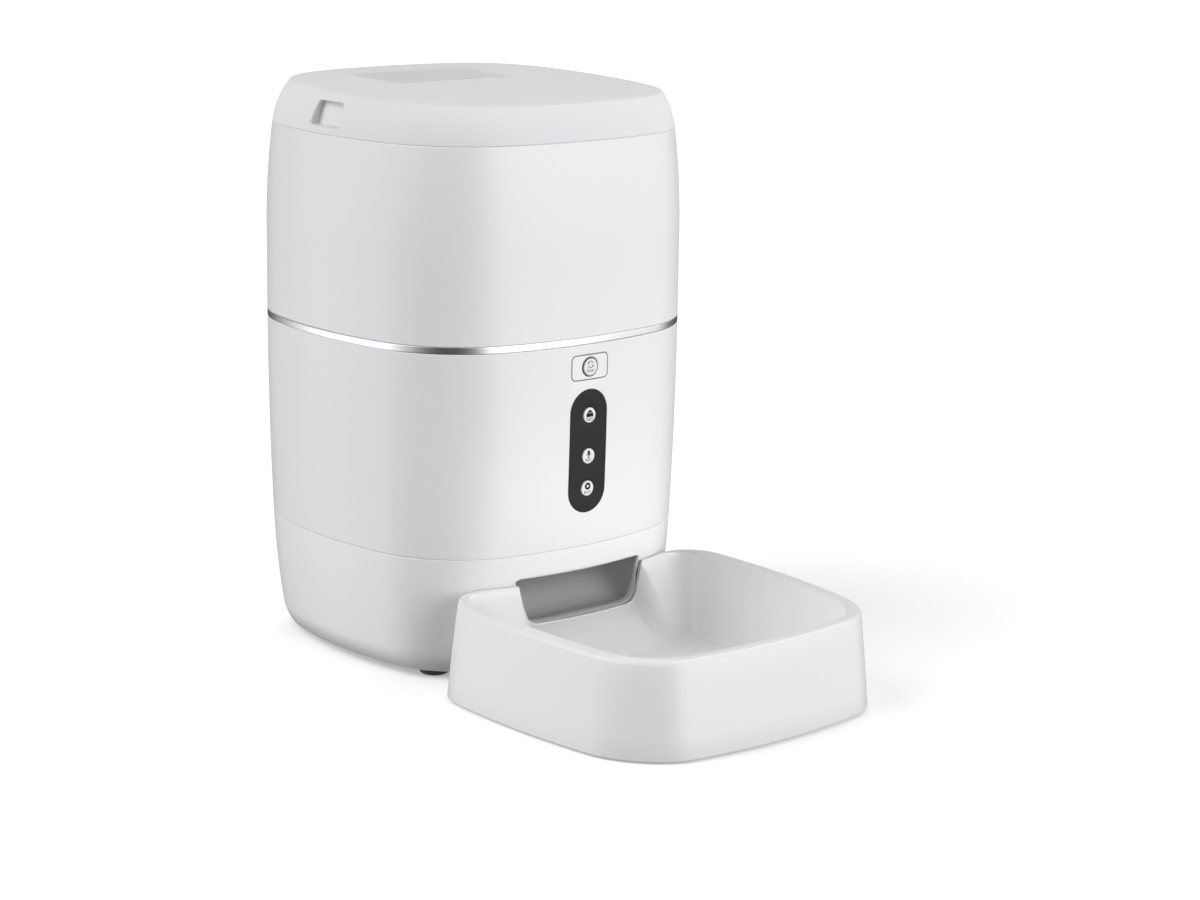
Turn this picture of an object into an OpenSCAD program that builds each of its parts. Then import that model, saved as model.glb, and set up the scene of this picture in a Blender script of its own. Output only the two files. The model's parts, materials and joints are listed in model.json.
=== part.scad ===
// Automatic pet feeder: a tall rounded-square body with a lift-off lid, a food tank,
// a metering wheel under a funnel, a chute, a control panel and a slide-out bowl.
// Lengths are millimetres. The front faces -Y and the feet stand on z = 0.

/* [Body] */
// Width of the body at its widest level
body_w = 210; // [200:1:225]
// Depth of the body at its widest level
body_d = 206.6; // [200:1:222]
// Radius of the four bulging sides, seen from above
side_r = 240; // [220:5:300]
// Radius of the four corners, seen from above
corner_r = 63.8; // [58:1:72]
// Thickness of the moulded walls
wall = 2.5; // [2:0.1:3]
// Bevel on each edge that meets a seam
seam_bevel = 0.5; // [0.3:0.1:0.8]
// Radius of the side profile below the trim
belly_r = 2620; // [2000:20:4000]

/* [Levels] */
// Height of the rubber feet
foot_h = 4; // [3:0.5:6]
// Height of the base shell
base_h = 65.5; // [62:0.5:72]
// Height of the main housing above the base
housing_h = 112.3; // [110:0.5:118]
// Height of the bright trim ring
trim_h = 3.8; // [3:0.1:6]
// Height of the food tank above the trim
tank_h = 104.8; // [95:0.5:130]
// Height of the lid at its middle
lid_h = 21.7; // [20:0.1:26]

/* [Lid] */
// Slope of the lid's top, rising to the back, in degrees
lid_tilt = 1.55; // [0:0.05:2]
// Radius of the lid's shoulder
shoulder_r = 46; // [42:1:52]
// Straight part of the tank below its inward curve
tank_straight = 46.4; // [40:0.1:52]
// Radius of the tank's inward curve
tank_curve_r = 460; // [420:10:600]
// Depth of the plug skirt below the lid's rim
skirt_h = 11; // [8:0.5:14]
// Thickness of the plug skirt
skirt_t = 2.2; // [1.8:0.1:2.6]
// Width of the finger pockets at the bottom
pocket_w = 28; // [24:0.5:32]
// Width of the finger pockets at the top
pocket_top_w = 22; // [18:0.5:24]
// Height of the finger pockets
pocket_h = 13; // [11:0.2:13.4]
// Depth of the finger pockets
pocket_depth = 8; // [6:0.2:9]
// Radius of the desiccant cup
desiccant_r = 34; // [28:1:44]
// Height of the desiccant cup
desiccant_h = 15; // [12:0.5:17]

/* [Base] */
// Radius of the base's lower profile
base_curve_r = 500; // [400:10:800]
// Radius of the rolled lower edge
base_edge_r = 24; // [20:1:28]
// Height of the rolled lower edge above the underside
base_edge_h = 12; // [10:0.5:14]
// Radius of the rubber feet
foot_r = 8; // [6:0.5:9]
// Half of the left to right spacing of the feet
foot_x = 70; // [64:1:74]
// Half of the front to back spacing of the feet
foot_y = 58; // [54:1:62]

/* [Chute] */
// Half-width of the chute opening at its top edge
mouth_top_half = 44.5; // [40:0.5:46]
// Half-width of the chute opening at its sill
mouth_sill_half = 38; // [34:0.5:39]
// Height of the chute opening's sill
mouth_sill_z = 31; // [29:0.5:33]
// Height of the chute opening's top edge
mouth_top_z = 56; // [53:0.5:58]
// Radius of the opening's lower corners
mouth_corner_r = 8; // [6:0.5:9]
// How far the chute's straight nozzle reaches back from the body's front
nozzle_l = 10; // [9:0.5:12]
// Thickness of the chute
chute_t = 2; // [1.6:0.1:2.4]

/* [Control panel] */
// Width of the dark panel
panel_w = 26; // [24:0.5:28]
// Height of the dark panel
panel_h = 69; // [66:0.5:71]
// Distance from the trim down to the panel's top
panel_drop = 24.6; // [23:0.1:27]
// How far the panel stands proud of the housing
panel_proud = 0.2; // [0.1:0.05:0.4]
// Diameter of the three panel buttons
button_d = 8.4; // [7.4:0.2:9]
// Distance from the trim down to the feed button
feed_drop = 39.1; // [38:0.1:40]
// Distance from the trim down to the record button
record_drop = 61.8; // [60:0.1:63]
// Distance from the trim down to the play button
play_drop = 79.9; // [79:0.1:81]
// Distance from the trim down to the microphone hole
mic_drop = 70.2; // [69.6:0.1:71.4]
// Travel of the buttons
button_travel = 0.8; // [0.6:0.1:1]
// Width of the reset plate
reset_w = 25.5; // [22:0.5:27]
// Height of the reset plate
reset_h = 14.2; // [13.4:0.2:14.8]
// Distance from the trim down to the reset button
reset_drop = 12.5; // [12:0.1:13]
// Diameter of the reset button
reset_d = 10.5; // [9:0.1:11]

/* [Metering] */
// Inner radius of the metering chamber
chamber_r = 57; // [54:0.5:60]
// Height of the metering chamber
chamber_h = 40; // [36:0.5:42]
// Slope of the funnel in degrees
funnel_angle = 39; // [37:0.5:40]
// Number of vanes on the portion wheel
vanes = 6; // [5:1:8]
// Thickness of a vane
vane_t = 2.4; // [2:0.1:3]
// Radius of the portion wheel's hub
hub_r = 12; // [10:0.5:14]
// Radius of the wheel shaft
shaft_r = 4; // [3:0.1:4.5]
// Half-angle of the outlet in the chamber floor
outlet_half = 32; // [26:1:34]
// Inner radius of the outlet in the chamber floor
outlet_in = 25; // [24.5:0.5:27]

/* [Drive] */
// Gear module
gear_module = 1.25; // [1.1:0.05:1.3]
// Teeth on the wheel gear
wheel_teeth = 30; // [28:2:32]
// Teeth on the motor pinion
pinion_teeth = 12; // [12:2:14]
// Face width of the gears
gear_w = 7; // [6:0.5:8]
// Backlash of the gear pair
backlash = 0.2; // [0.1:0.05:0.4]
// Radius of the gear motor's can
motor_r = 13.5; // [12:0.5:14.5]
// Length of the gear motor's can
motor_l = 30; // [26:1:31]

/* [Battery bay] */
// Width of the battery bay
bay_w = 106; // [103:1:108]
// Length of the battery bay
bay_l = 64; // [63:0.5:66]
// Height of the battery bay above the underside
bay_h = 37; // [36:0.5:38]
// Distance from the body's back to the battery bay's back wall
bay_back = 28.3; // [27.9:0.1:29.3]

/* [Bowl] */
// Width of the bowl at its foot
bowl_w = 196.4; // [184:0.5:204]
// Distance from the body's axis to the bowl's front
bowl_reach = 260.3; // [245:0.5:285]
// Height of the bowl's rim
bowl_h = 53; // [52:0.5:54]
// Height of the basin's floor
basin_floor = 12; // [11:0.5:14]
// Thickness of the bowl's wall
bowl_t = 2.4; // [2:0.1:2.8]
// Lean of the bowl's outer wall
bowl_lean = 5.8; // [4:0.1:7]
// Width of the rounded rim
rim_w = 8.6; // [7:0.1:10]
// Radius of the bowl's front corners
bowl_front_r = 53; // [46:1:60]
// Radius of the bowl's rear corners
bowl_rear_r = 24; // [20:1:28]
// Radius of the bowl's bulging front and sides
bowl_bulge_r = 414; // [380:2:460]

/* [Fits] */
// Clearance between moulded pieces that are assembled once
fit = 0.3; // [0.2:0.05:0.4]
// Clearance between moulded pieces that slide apart by hand
slip = 0.6; // [0.5:0.05:0.8]
// Radial running clearance of shafts in bores
running = 0.05; // [0.02:0.01:0.08]
// Radial clearance of pressed pieces
seat = 0.02; // [0.01:0.01:0.05]

/* [Hidden] */
$fa = 4;
$fs = 1;

// Colours
shell_white = [0.93, 0.93, 0.94];
inner_white = [0.86, 0.86, 0.87];
panel_black = [0.10, 0.10, 0.11];
bright_metal = [0.80, 0.81, 0.83];
steel = [0.62, 0.63, 0.65];
rubber_grey = [0.25, 0.25, 0.26];
seal_grey = [0.72, 0.73, 0.75];
board_green = [0.10, 0.35, 0.20];
gear_cream = [0.88, 0.85, 0.76];
bronze = [0.70, 0.52, 0.28];
sieve_blue = [0.55, 0.66, 0.74];

// Levels
base_z = foot_h;
seam_z = base_z + base_h;
trim_z = seam_z + housing_h;
tank_z = trim_z + trim_h;
lid_z = tank_z + tank_h;
top_z = lid_z + lid_h;
flare_z = tank_z + tank_straight;
// The row's origin lies under the middle of the body and bowl together
stand_y = (bowl_reach - body_d / 2) / 2;

// Plan of the body: four side arcs tangent to four corner arcs
front_centre = side_r - body_d / 2;
side_centre = side_r - body_w / 2;
centre_gap = norm([side_centre, front_centre]);
corner_out = sqrt(pow(side_r - corner_r, 2) - pow(centre_gap / 2, 2));
corner_x = -side_centre / 2 + corner_out * front_centre / centre_gap;
corner_y = -front_centre / 2 + corner_out * side_centre / centre_gap;
front_half = atan2(corner_x, corner_y + front_centre);
side_half = atan2(corner_y, corner_x + side_centre);

// Insets of the profile from the widest outline
lid_slope = asin((lid_z - flare_z) / tank_curve_r);
lid_inset = tank_curve_r * (1 - cos(lid_slope));
seam_slope = asin(housing_h / belly_r);
seam_inset = belly_r * (1 - cos(seam_slope));
edge_top = base_z + base_edge_h;
base_drop = seam_z - edge_top;
edge_slope = seam_slope + asin(base_drop / base_curve_r);
edge_inset = seam_inset + base_curve_r * (cos(seam_slope) - cos(edge_slope));

// Lid
flange_t = 2.5;
skirt_inset = lid_inset + wall + slip + 1.2;
seal_h = 4;
seal_inset = lid_inset + wall + 0.45;
pocket_low = lid_z + 4;
pocket_skin = 2;
cup_t = 2;
cap_t = 2.4;
cap_plug_h = 4;
cap_grip_w = 4;
cap_grip_h = 3;
cap_slot_w = 2.4;
cap_slot_first = 7;
cap_slot_pitch = 6.5;
cap_slot_margin = 12;
cap_slot_step = 4;

// Funnel, chamber and wheel
chamber_t = 3;
chamber_out = chamber_r + chamber_t;
ledge_t = 2;
spigot_h = 3.8;
spigot_t = 2.2;
funnel_t = 2.5;
funnel_edge = body_d / 2 - wall - fit;
funnel_seat = funnel_edge - spigot_t;
chamber_top = tank_z + ledge_t + 0.1 - (funnel_seat - chamber_out) * tan(funnel_angle);
floor_top = chamber_top - chamber_h;
floor_z = floor_top - chamber_t;
bush_top = floor_top + 1;
wheel_top = chamber_top - 4.4;
vane_reach = chamber_r - 7;
blade_reach = chamber_r - 0.8;
pillar_r = 5;
pillar_h = 34;
pillar_spread = 61;
pillar_rib_t = 2.4;
ear_w = 12;
rib_w = 9;
chamber_screw_l = 12;
outlet_out = chamber_r - 3;
bush_t = 3;
bush_flange = 2;
blade_root = 2;
blade_tip_t = 0.8;
stirrer_socket = 4;
stirrer_body = 10;
stirrer_nose_r = 5;
stirrer_nose = 16;
stirrer_h = 17;
arm_reach = 40;
arm_r = 2.5;
arm_z = 9;
sensor_size = [6, 8, 6];
sensor_side = 16;
sensor_in = 6;
lens_r = 1.5;
lens_l = 4;
lens_z = 2.5;

// Gears
wheel_pitch_r = gear_module * wheel_teeth / 2;
pinion_pitch_r = gear_module * pinion_teeth / 2;
motor_y = wheel_pitch_r + pinion_pitch_r;
gear_top = floor_z - 4;
gear_z = gear_top - gear_w;
plate_t = 2;
plate_top = gear_z - 1;
gearbox_h = 18;
gearbox_r = motor_r + 2.5;
motor_shaft_r = 2.5;
motor_boss_r = motor_shaft_r + 2.5;
motor_cap_r = 4;
motor_cap_h = 3;
terminal = [3, 0.8, 6];
terminal_x = 7;
pinion_tail = 6;
web_step = 2;
bracket_x = gearbox_r + 8;
bracket_l = 34;
bracket_back = 4;
bracket_end = 5;
bracket_post_r = 4;
bracket_post_y = motor_y + 8;
motor_hole_x = 10;

// Control panel
panel_z = trim_z - panel_drop - panel_h / 2;
reset_z = trim_z - reset_drop;
front_y = -body_d / 2;
flange_lip = 2;
panel_back = wall + fit + 1.5;
board_front = front_y + 14;
board_t = 1.6;
board_half_w = 24;
switch_h = 3.6;
switch_w = 6.2;
plunger_r = 1.7;
plunger_h = 1;
post_x = 20;
post_r = 3;
post_low = panel_z - panel_h / 2 + 6;
stem_r = 1.6;
button_flange = 1.2;
button_proud = 0.5;
plate_corner_r = 3;
mic_r = 0.6;
panel_screw_l = 7;
board_screw_l = 6;
front_cut = 8;

// Base
screw_x = body_w / 2 - 25;
screw_y = 30;
boss_r = 5.5;
boss_top = seam_z - 8;
boss_web = 4;
post_h = 24;
post_rib_t = 2.4;
housing_screw_l = 16;
head_r = 3.4;
head_h = 2.4;
screw_r = 1.6;
bay_wall = 5;
bay_roof = 2;
bay_y = body_d / 2 - bay_back - bay_l;
cover_t = 2;
cover_lap = 3;
clip = [12, 1.6, 5];
grip_w = 28;
grip_step = 3;
contact = [18, 0.5, 20];
contact_dome_r = 7;
contact_stud_r = 4;
contact_rise = 0.8;
speaker_r = 14;
speaker_h = 12;
speaker_rim = 2;
speaker_frame = 7;
magnet_r = 8;
speaker_side = 39;
speaker_y = -11;
speaker_pos = [body_w / 2 - speaker_side, speaker_y];
speaker_slot_r = 10;
speaker_slot_step = 4;
main_board_gap = 18;
main_board_clear = 7;
main_board_d = 50;
main_board_size = [2 * (speaker_pos[0] - speaker_r - main_board_clear), main_board_d];
// Blocks on the main board: place of a corner, then width, depth and height
board_blocks = [[-12, -14, 18, 24, 3.2], [-34, 2, 10, 10, 1.2], [16, -6, 14, 14, 6], [20, -20, 12, 5, 6]];
capacitor_x = [-30, -22];
capacitor_y = -12;
capacitor_r = 3;
capacitor_h = 9;
main_board_y = bay_y - bay_wall - main_board_gap - main_board_size[1] / 2;
main_board_hole = [main_board_size[0] / 2 - 4, main_board_size[1] / 2 - 4];
standoff_h = 6;
standoff_r = 3.5;
jack_z = base_z + 24;
jack_half = 5.5;
jack_nose_r = 4.5;
jack_bore_r = 2.75;
jack_pin_r = 1;
jack_depth = 10;

lip_inset = base_profile()[0][0] + wall + 1;

// Bowl
bowl_back = front_y + seam_inset - 0.2;
bowl_gap = 0.8;
pad_h = 1.5;
pad_r = 5;
pad_front = 55;
pad_behind = 50;
pad_side = 48;
bowl_mid = -bowl_reach + bowl_w / 2;

// Points on an arc
function arc(centre, r, from, to, steps) =
    [for (i = [0:steps]) let (a = from + (to - from) * i / steps) centre + r * [cos(a), sin(a)]];
function reversed(list) = [for (i = [len(list) - 1:-1:0]) list[i]];
function shifted(section, by) = [for (p = section) [p[0] + by, p[1]]];

// Outline of the body seen from above, drawn in by an inset
function half_plan(inset) = concat(
    arc([0, front_centre], side_r - inset, 270 - front_half, 270 + front_half, 8),
    arc([corner_x, -corner_y], corner_r - inset, front_half - 85, -side_half - 5, 6),
    arc([-side_centre, 0], side_r - inset, -side_half, side_half, 8),
    arc([corner_x, corner_y], corner_r - inset, side_half + 5, 85 - front_half, 6));
function plan(inset) = concat(half_plan(inset), [for (p = half_plan(inset)) -p]);

// Inset of the housing's outer wall at a level
function housing_inset(z) = belly_r - sqrt(pow(belly_r, 2) - pow(trim_z - z, 2));
// Inset of the base's outer wall at a level above its rolled edge
function base_inset(z) = seam_inset + base_curve_r * cos(seam_slope)
    - sqrt(pow(base_curve_r, 2) - pow(base_curve_r * sin(seam_slope) + seam_z - z, 2));

// Outer profiles as inset and height, from the bottom up
function tank_profile() = concat([[0, tank_z + seam_bevel]],
    [for (i = [0:4]) let (a = lid_slope * i / 4)
        [tank_curve_r * (1 - cos(a)), min(flare_z + tank_curve_r * sin(a), lid_z - seam_bevel)]]);
function lid_profile() =
    let (centre = [lid_inset + shoulder_r * cos(lid_slope), lid_z - shoulder_r * sin(lid_slope)],
         high = asin((top_z + 6 - centre[1]) / shoulder_r))
    [for (i = [0:6]) let (a = lid_slope + (high - lid_slope) * i / 6)
        [centre[0] - shoulder_r * cos(a), max(centre[1] + shoulder_r * sin(a), lid_z + seam_bevel)]];
function housing_profile() =
    [for (i = [0:3]) let (z = seam_z + seam_bevel + (housing_h - 2 * seam_bevel) * i / 3)
        [housing_inset(z), z]];
function base_profile() =
    let (centre = [edge_inset + base_edge_r * cos(edge_slope), edge_top + base_edge_r * sin(edge_slope)],
         low = asin((centre[1] - base_z) / base_edge_r))
    concat([for (i = [0:4]) let (a = low + (edge_slope - low) * i / 4)
                [centre[0] - base_edge_r * cos(a), centre[1] - base_edge_r * sin(a)]],
           [for (i = [1:3]) let (z = edge_top + (base_drop - seam_bevel) * i / 3) [base_inset(z), z]]);

// Moves the body's axis to its place behind the row's origin
module stand() {
    translate([0, stand_y, 0]) children();
}

// Section of inset and height, carried round the front or back side
module front_arc(section) {
    translate([0, front_centre, 0])
        rotate_extrude(angle = 2 * front_half, start = 270 - front_half)
            polygon([for (p = section) [side_r - p[0], p[1]]]);
}

// Closed section of inset and height, carried round all sides and corners
module swept(section) {
    n = len(plan(0));
    m = len(section);
    points = [for (p = section) each [for (q = plan(p[0])) [q[0], q[1], p[1]]]];
    faces = [for (k = [0:m - 1], i = [0:n - 1])
        let (next = (i + 1) % n, low = k * n, high = (k + 1) % m * n)
        each [[low + i, high + next, low + next], [low + i, high + i, high + next]]];
    polyhedron(points, faces);
}

// Closed skin through a list of rings, with a flat cap at each end
module skin(rings) {
    n = len(rings[0]);
    last = (len(rings) - 1) * n;
    sides = [for (k = [0:len(rings) - 2], i = [0:n - 1]) let (a = k * n + i, b = k * n + (i + 1) % n)
        each [[a, b + n, b], [a, a + n, b + n]]];
    polyhedron([for (ring = rings) each ring],
        concat(sides, [[for (i = [0:n - 1]) i]], [[for (i = [n - 1:-1:0]) last + i]]));
}

// Solid with the body's outline at each level of a profile
module filled(profile) {
    skin([for (p = profile) [for (q = plan(p[0])) [q[0], q[1], p[1]]]]);
}

// Flat plate with the body's outline
module plan_plate(inset, z, height) {
    translate([0, 0, z]) linear_extrude(height) polygon(plan(inset));
}

// Shape drawn in x and z, carried from y_back forward by a depth
module forward(y_back, depth) {
    translate([0, y_back, 0]) rotate([90, 0, 0]) linear_extrude(depth) children();
}

// Upright rounded slot shape
module stadium(width, height) {
    square([width, height - width], center = true);
    for (side = [-1, 1]) translate([0, side * (height - width) / 2]) circle(width / 2);
}

// Rectangle with rounded corners
module rounded_rect(width, height, r) {
    square([width - 2 * r, height], center = true);
    square([width, height - 2 * r], center = true);
    for (sx = [-1, 1], sy = [-1, 1]) translate([sx * (width / 2 - r), sy * (height / 2 - r)]) circle(r);
}

// Chute opening: a trapezoid with rounded lower corners, drawn in x and z
module mouth_shape(grow) {
    lean = atan((mouth_top_half - mouth_sill_half) / (mouth_top_z - mouth_sill_z));
    r = mouth_corner_r + grow;
    z_low = mouth_sill_z - grow + r;
    x_low = mouth_sill_half + grow - r * tan((90 - lean) / 2);
    side = concat(arc([x_low, z_low], r, -90, -lean, 6), [[mouth_top_half + grow, mouth_top_z + grow]]);
    polygon(concat(side, [for (p = reversed(side)) [-p[0], p[1]]]));
}

// Half-space above the lid's sloping top, lowered by a depth
module above_top(depth) {
    translate([0, 0, top_z]) rotate([lid_tilt, 0, 0]) translate([-body_w, -body_w, -depth])
        cube([2 * body_w, 2 * body_w, body_w]);
}

// Trapezoid prism through one finger pocket, along x
module pocket_prism(grow) {
    low = pocket_low - grow;
    high = pocket_low + pocket_h + grow;
    rotate([90, 0, 90]) linear_extrude(body_w)
        polygon([[-pocket_w / 2 - grow, low], [pocket_w / 2 + grow, low],
                 [pocket_top_w / 2 + grow, high], [-pocket_top_w / 2 - grow, high]]);
}

// Band that follows the lid's shoulder on the +X side, between two depths
module shoulder_band(outer, inner) {
    profile = lid_profile();
    translate([0, pocket_w, 0]) rotate([90, 0, 0]) linear_extrude(2 * pocket_w)
        polygon([for (p = concat(shifted(profile, outer), reversed(shifted(profile, inner))))
            [body_w / 2 - p[0], p[1]]]);
}

// Lid

module lid() {
    outer = lid_profile();
    skirt_in = skirt_inset + skirt_t;
    hollow = concat(
        [[skirt_in, lid_z - 1], [skirt_in, lid_z + flange_t], [lid_inset + wall, lid_z + flange_t]],
        [for (p = shifted(outer, wall)) if (p[1] > lid_z + flange_t + 1) p]);
    color(shell_white) stand() difference() {
        union() {
            difference() {
                filled(concat([[lid_inset + seam_bevel, lid_z]], outer));
                difference() {
                    filled(hollow);
                    above_top(wall);
                }
            }
            swept([[skirt_inset, lid_z - skirt_h], [skirt_inset, lid_z + flange_t / 2],
                   [skirt_in, lid_z + flange_t / 2], [skirt_in, lid_z - skirt_h]]);
            for (flip = [0, 1]) mirror([flip, 0, 0]) intersection() {
                pocket_prism(pocket_skin);
                shoulder_band(wall / 2, pocket_depth + pocket_skin);
            }
        }
        above_top(0);
        for (flip = [0, 1]) mirror([flip, 0, 0]) intersection() {
            pocket_prism(0);
            shoulder_band(-wall, pocket_depth);
        }
    }
}

module lid_seal() {
    seal_low = lid_z - skirt_h + 3;
    seal_in = skirt_inset - seat;
    color(seal_grey) stand()
        swept([[seal_inset + 0.6, seal_low], [seal_inset, seal_low + seal_h / 2],
               [seal_inset + 0.6, seal_low + seal_h], [seal_in, seal_low + seal_h], [seal_in, seal_low]]);
}

module desiccant_cup() {
    cup_low = top_z - wall - desiccant_h;
    color(inner_white) stand() difference() {
        translate([0, 0, cup_low]) cylinder(r = desiccant_r, h = desiccant_h + 4);
        translate([0, 0, cup_low - 1]) cylinder(r = desiccant_r - cup_t, h = desiccant_h - cup_t);
        above_top(wall);
    }
}

// Length of a slot in the cap, shorter towards the rim
function cap_slot_l(row) = 2 * (desiccant_r - cap_slot_margin - cap_slot_step * row);

module desiccant_cap() {
    cup_low = top_z - wall - desiccant_h;
    color(sieve_blue) stand() difference() {
        union() {
            translate([0, 0, cup_low - fit - cap_t]) cylinder(r = desiccant_r, h = cap_t);
            translate([0, 0, cup_low - fit - 0.1]) difference() {
                cylinder(r = desiccant_r - cup_t - fit, h = cap_plug_h);
                translate([0, 0, -1]) cylinder(r = desiccant_r - 2 * cup_t - fit, h = cap_plug_h + 2);
            }
            translate([0, 0, cup_low - fit - cap_t - cap_grip_h]) linear_extrude(cap_grip_h + 1)
                rounded_rect(desiccant_r, cap_grip_w, cap_grip_w / 2 - 0.1);
        }
        for (side = [-1, 1], row = [0:2])
            translate([0, side * (cap_slot_first + cap_slot_pitch * row), cup_low - fit - cap_t - 1])
                linear_extrude(cap_t + 2) rounded_rect(cap_slot_l(row), cap_slot_w, cap_slot_w / 2 - 0.1);
    }
}

// Tank, trim and funnel

module food_tank() {
    outer = tank_profile();
    spigot_in = wall + fit + spigot_t;
    section = concat(
        [[seam_bevel, tank_z]], outer, [[lid_inset + seam_bevel, lid_z], [lid_inset + wall, lid_z]],
        [for (p = reversed(shifted(outer, wall))) if (p[1] > tank_z + 10) p],
        [[wall, tank_z + ledge_t], [spigot_in, tank_z + ledge_t], [spigot_in, trim_z - spigot_h],
         [wall + fit, trim_z - spigot_h], [wall + fit, tank_z]]);
    color(shell_white) stand() swept(section);
}

module trim_ring() {
    bevel = seam_bevel / 2;
    color(bright_metal) stand()
        swept([[bevel, trim_z], [0, trim_z + bevel], [0, tank_z - bevel],
               [bevel, tank_z], [wall, tank_z], [wall, trim_z]]);
}

module hopper_funnel() {
    rise = tan(funnel_angle);
    far = body_w;
    color(inner_white) stand() {
        intersection() {
            rotate_extrude() polygon([[chamber_r, chamber_top], [chamber_out, chamber_top],
                [far, chamber_top + (far - chamber_out) * rise],
                [far, chamber_top + (far - chamber_out) * rise + funnel_t / cos(funnel_angle)],
                [chamber_r, chamber_top + funnel_t]]);
            plan_plate(wall + fit, chamber_top - 1, far);
        }
        translate([0, 0, chamber_top])
            rotate_extrude(angle = 2 * outlet_half + 12, start = 264 - outlet_half)
                polygon([[hub_r + 4, 0], [chamber_r + 1, 0],
                         [chamber_r + 1, funnel_t], [hub_r + 4, funnel_t]]);
    }
}

// Metering chamber and wheel

// Places a child at each chamber pillar
module at_pillars() {
    for (sx = [-1, 1], sy = [-1, 1]) translate([sx * pillar_spread, sy * pillar_spread, 0]) children();
}

module metering_chamber() {
    color(inner_white) stand() difference() {
        union() {
            translate([0, 0, floor_z]) cylinder(r = chamber_out, h = chamber_h + chamber_t);
            at_pillars() translate([0, 0, floor_z]) cylinder(r = ear_w / 2, h = chamber_t);
            for (turn = [45:90:315]) rotate(turn) translate([0, -rib_w / 2, floor_z])
                cube([pillar_spread * sqrt(2), rib_w, chamber_t]);
        }
        translate([0, 0, floor_top]) cylinder(r = chamber_r, h = chamber_h + 1);
        translate([0, 0, floor_z - 1]) cylinder(r = shaft_r + bush_t + seat, h = chamber_t + 2);
        at_pillars() translate([0, 0, floor_z - 1]) cylinder(r = screw_r + seat, h = chamber_t + 2);
        translate([0, 0, floor_z - 1]) rotate_extrude(angle = 2 * outlet_half, start = 270 - outlet_half)
            polygon([[outlet_in, 0], [outlet_out, 0],
                     [outlet_out, chamber_t + 2], [outlet_in, chamber_t + 2]]);
        for (side = [-1, 1]) translate([side * bracket_x, bracket_post_y, floor_z - 1])
            cylinder(r = screw_r + seat, h = chamber_t);
    }
}

// Pan-head screw standing on its head, shank upwards from z = 0
module screw(length) {
    translate([0, 0, -head_h]) difference() {
        cylinder(r1 = head_r - 0.6, r2 = head_r, h = head_h);
        translate([-head_r / 2, -0.4, -1]) cube([head_r, 0.8, 2]);
        translate([-0.4, -head_r / 2, -1]) cube([0.8, head_r, 2]);
    }
    cylinder(r = screw_r, h = length);
}

module chamber_screws() {
    color(steel) stand() at_pillars()
        translate([0, 0, floor_top]) mirror([0, 0, 1]) screw(chamber_screw_l);
}

module shaft_bush() {
    color(bronze) stand() difference() {
        union() {
            translate([0, 0, floor_z]) cylinder(r = shaft_r + bush_t, h = bush_top - floor_z);
            translate([0, 0, floor_z - bush_flange])
                cylinder(r = shaft_r + bush_t + bush_flange, h = bush_flange);
        }
        translate([0, 0, floor_z - bush_flange - 1])
            cylinder(r = shaft_r + running, h = bush_top - floor_z + 2 * bush_flange + 2);
    }
}

// Places a child along each vane
module at_vanes() {
    for (i = [0:vanes - 1]) rotate(90 + 360 * i / vanes) children();
}

module portion_wheel() {
    color(sieve_blue) stand() difference() {
        union() {
            translate([0, 0, bush_top]) cylinder(r = hub_r, h = wheel_top - bush_top);
            at_vanes() translate([0, -vane_t / 2, bush_top + 0.4])
                cube([vane_reach, vane_t, wheel_top - bush_top - 2]);
        }
        translate([0, 0, bush_top - 1]) cylinder(r = shaft_r + seat, h = wheel_top - bush_top + 2);
    }
}

module wiper_blades() {
    color(seal_grey) stand() at_vanes() translate([vane_reach, 0, bush_top + 0.4])
        linear_extrude(wheel_top - bush_top - 2)
            polygon([[0, -vane_t / 2], [blade_root, -vane_t / 2], [blade_reach - vane_reach, -blade_tip_t / 2],
                     [blade_reach - vane_reach, blade_tip_t / 2], [blade_root, vane_t / 2], [0, vane_t / 2]]);
}

module stirrer() {
    color(sieve_blue) stand() translate([0, 0, wheel_top]) {
        rotate_extrude() polygon([[0, stirrer_socket], [shaft_r + 1, stirrer_socket], [shaft_r + 1, 0],
            [hub_r, 0], [hub_r - 2, stirrer_body], [stirrer_nose_r, stirrer_nose], [0, stirrer_h]]);
        for (turn = [20, 200]) rotate(turn) translate([0, 0, arm_z]) rotate([0, 66, 0])
            cylinder(r = arm_r, h = arm_reach);
    }
}

module wheel_shaft() {
    color(steel) stand() translate([0, 0, gear_z - 0.4]) cylinder(r = shaft_r, h = wheel_top - gear_z + 3);
}

// Involute spur gear outline, with a tooth on the +X axis
module gear_shape(teeth, bore) {
    pitch_r = gear_module * teeth / 2;
    base_r = pitch_r * cos(20);
    tip_r = pitch_r + gear_module;
    root_r = pitch_r - 1.25 * gear_module;
    half_tooth = 90 / teeth - backlash / 4 / pitch_r * 180 / PI;
    pitch_roll = sqrt(pow(pitch_r / base_r, 2) - 1) * 180 / PI;
    start_angle = half_tooth + pitch_roll - 20;
    tip_roll = sqrt(pow(tip_r / base_r, 2) - 1) * 180 / PI;
    flank = [for (i = [0:4]) let (roll = tip_roll * i / 4, r = base_r * sqrt(1 + pow(roll * PI / 180, 2)))
        [r, start_angle - roll + atan(roll * PI / 180)]];
    tooth = concat([[root_r, start_angle]], flank,
        [for (p = reversed(flank)) [p[0], -p[1]]], [[root_r, -start_angle]]);
    difference() {
        polygon([for (k = [teeth - 1:-1:0]) each
            [for (p = tooth) let (a = p[1] + 360 * k / teeth) p[0] * [cos(a), sin(a)]]]);
        circle(bore);
    }
}

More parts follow.
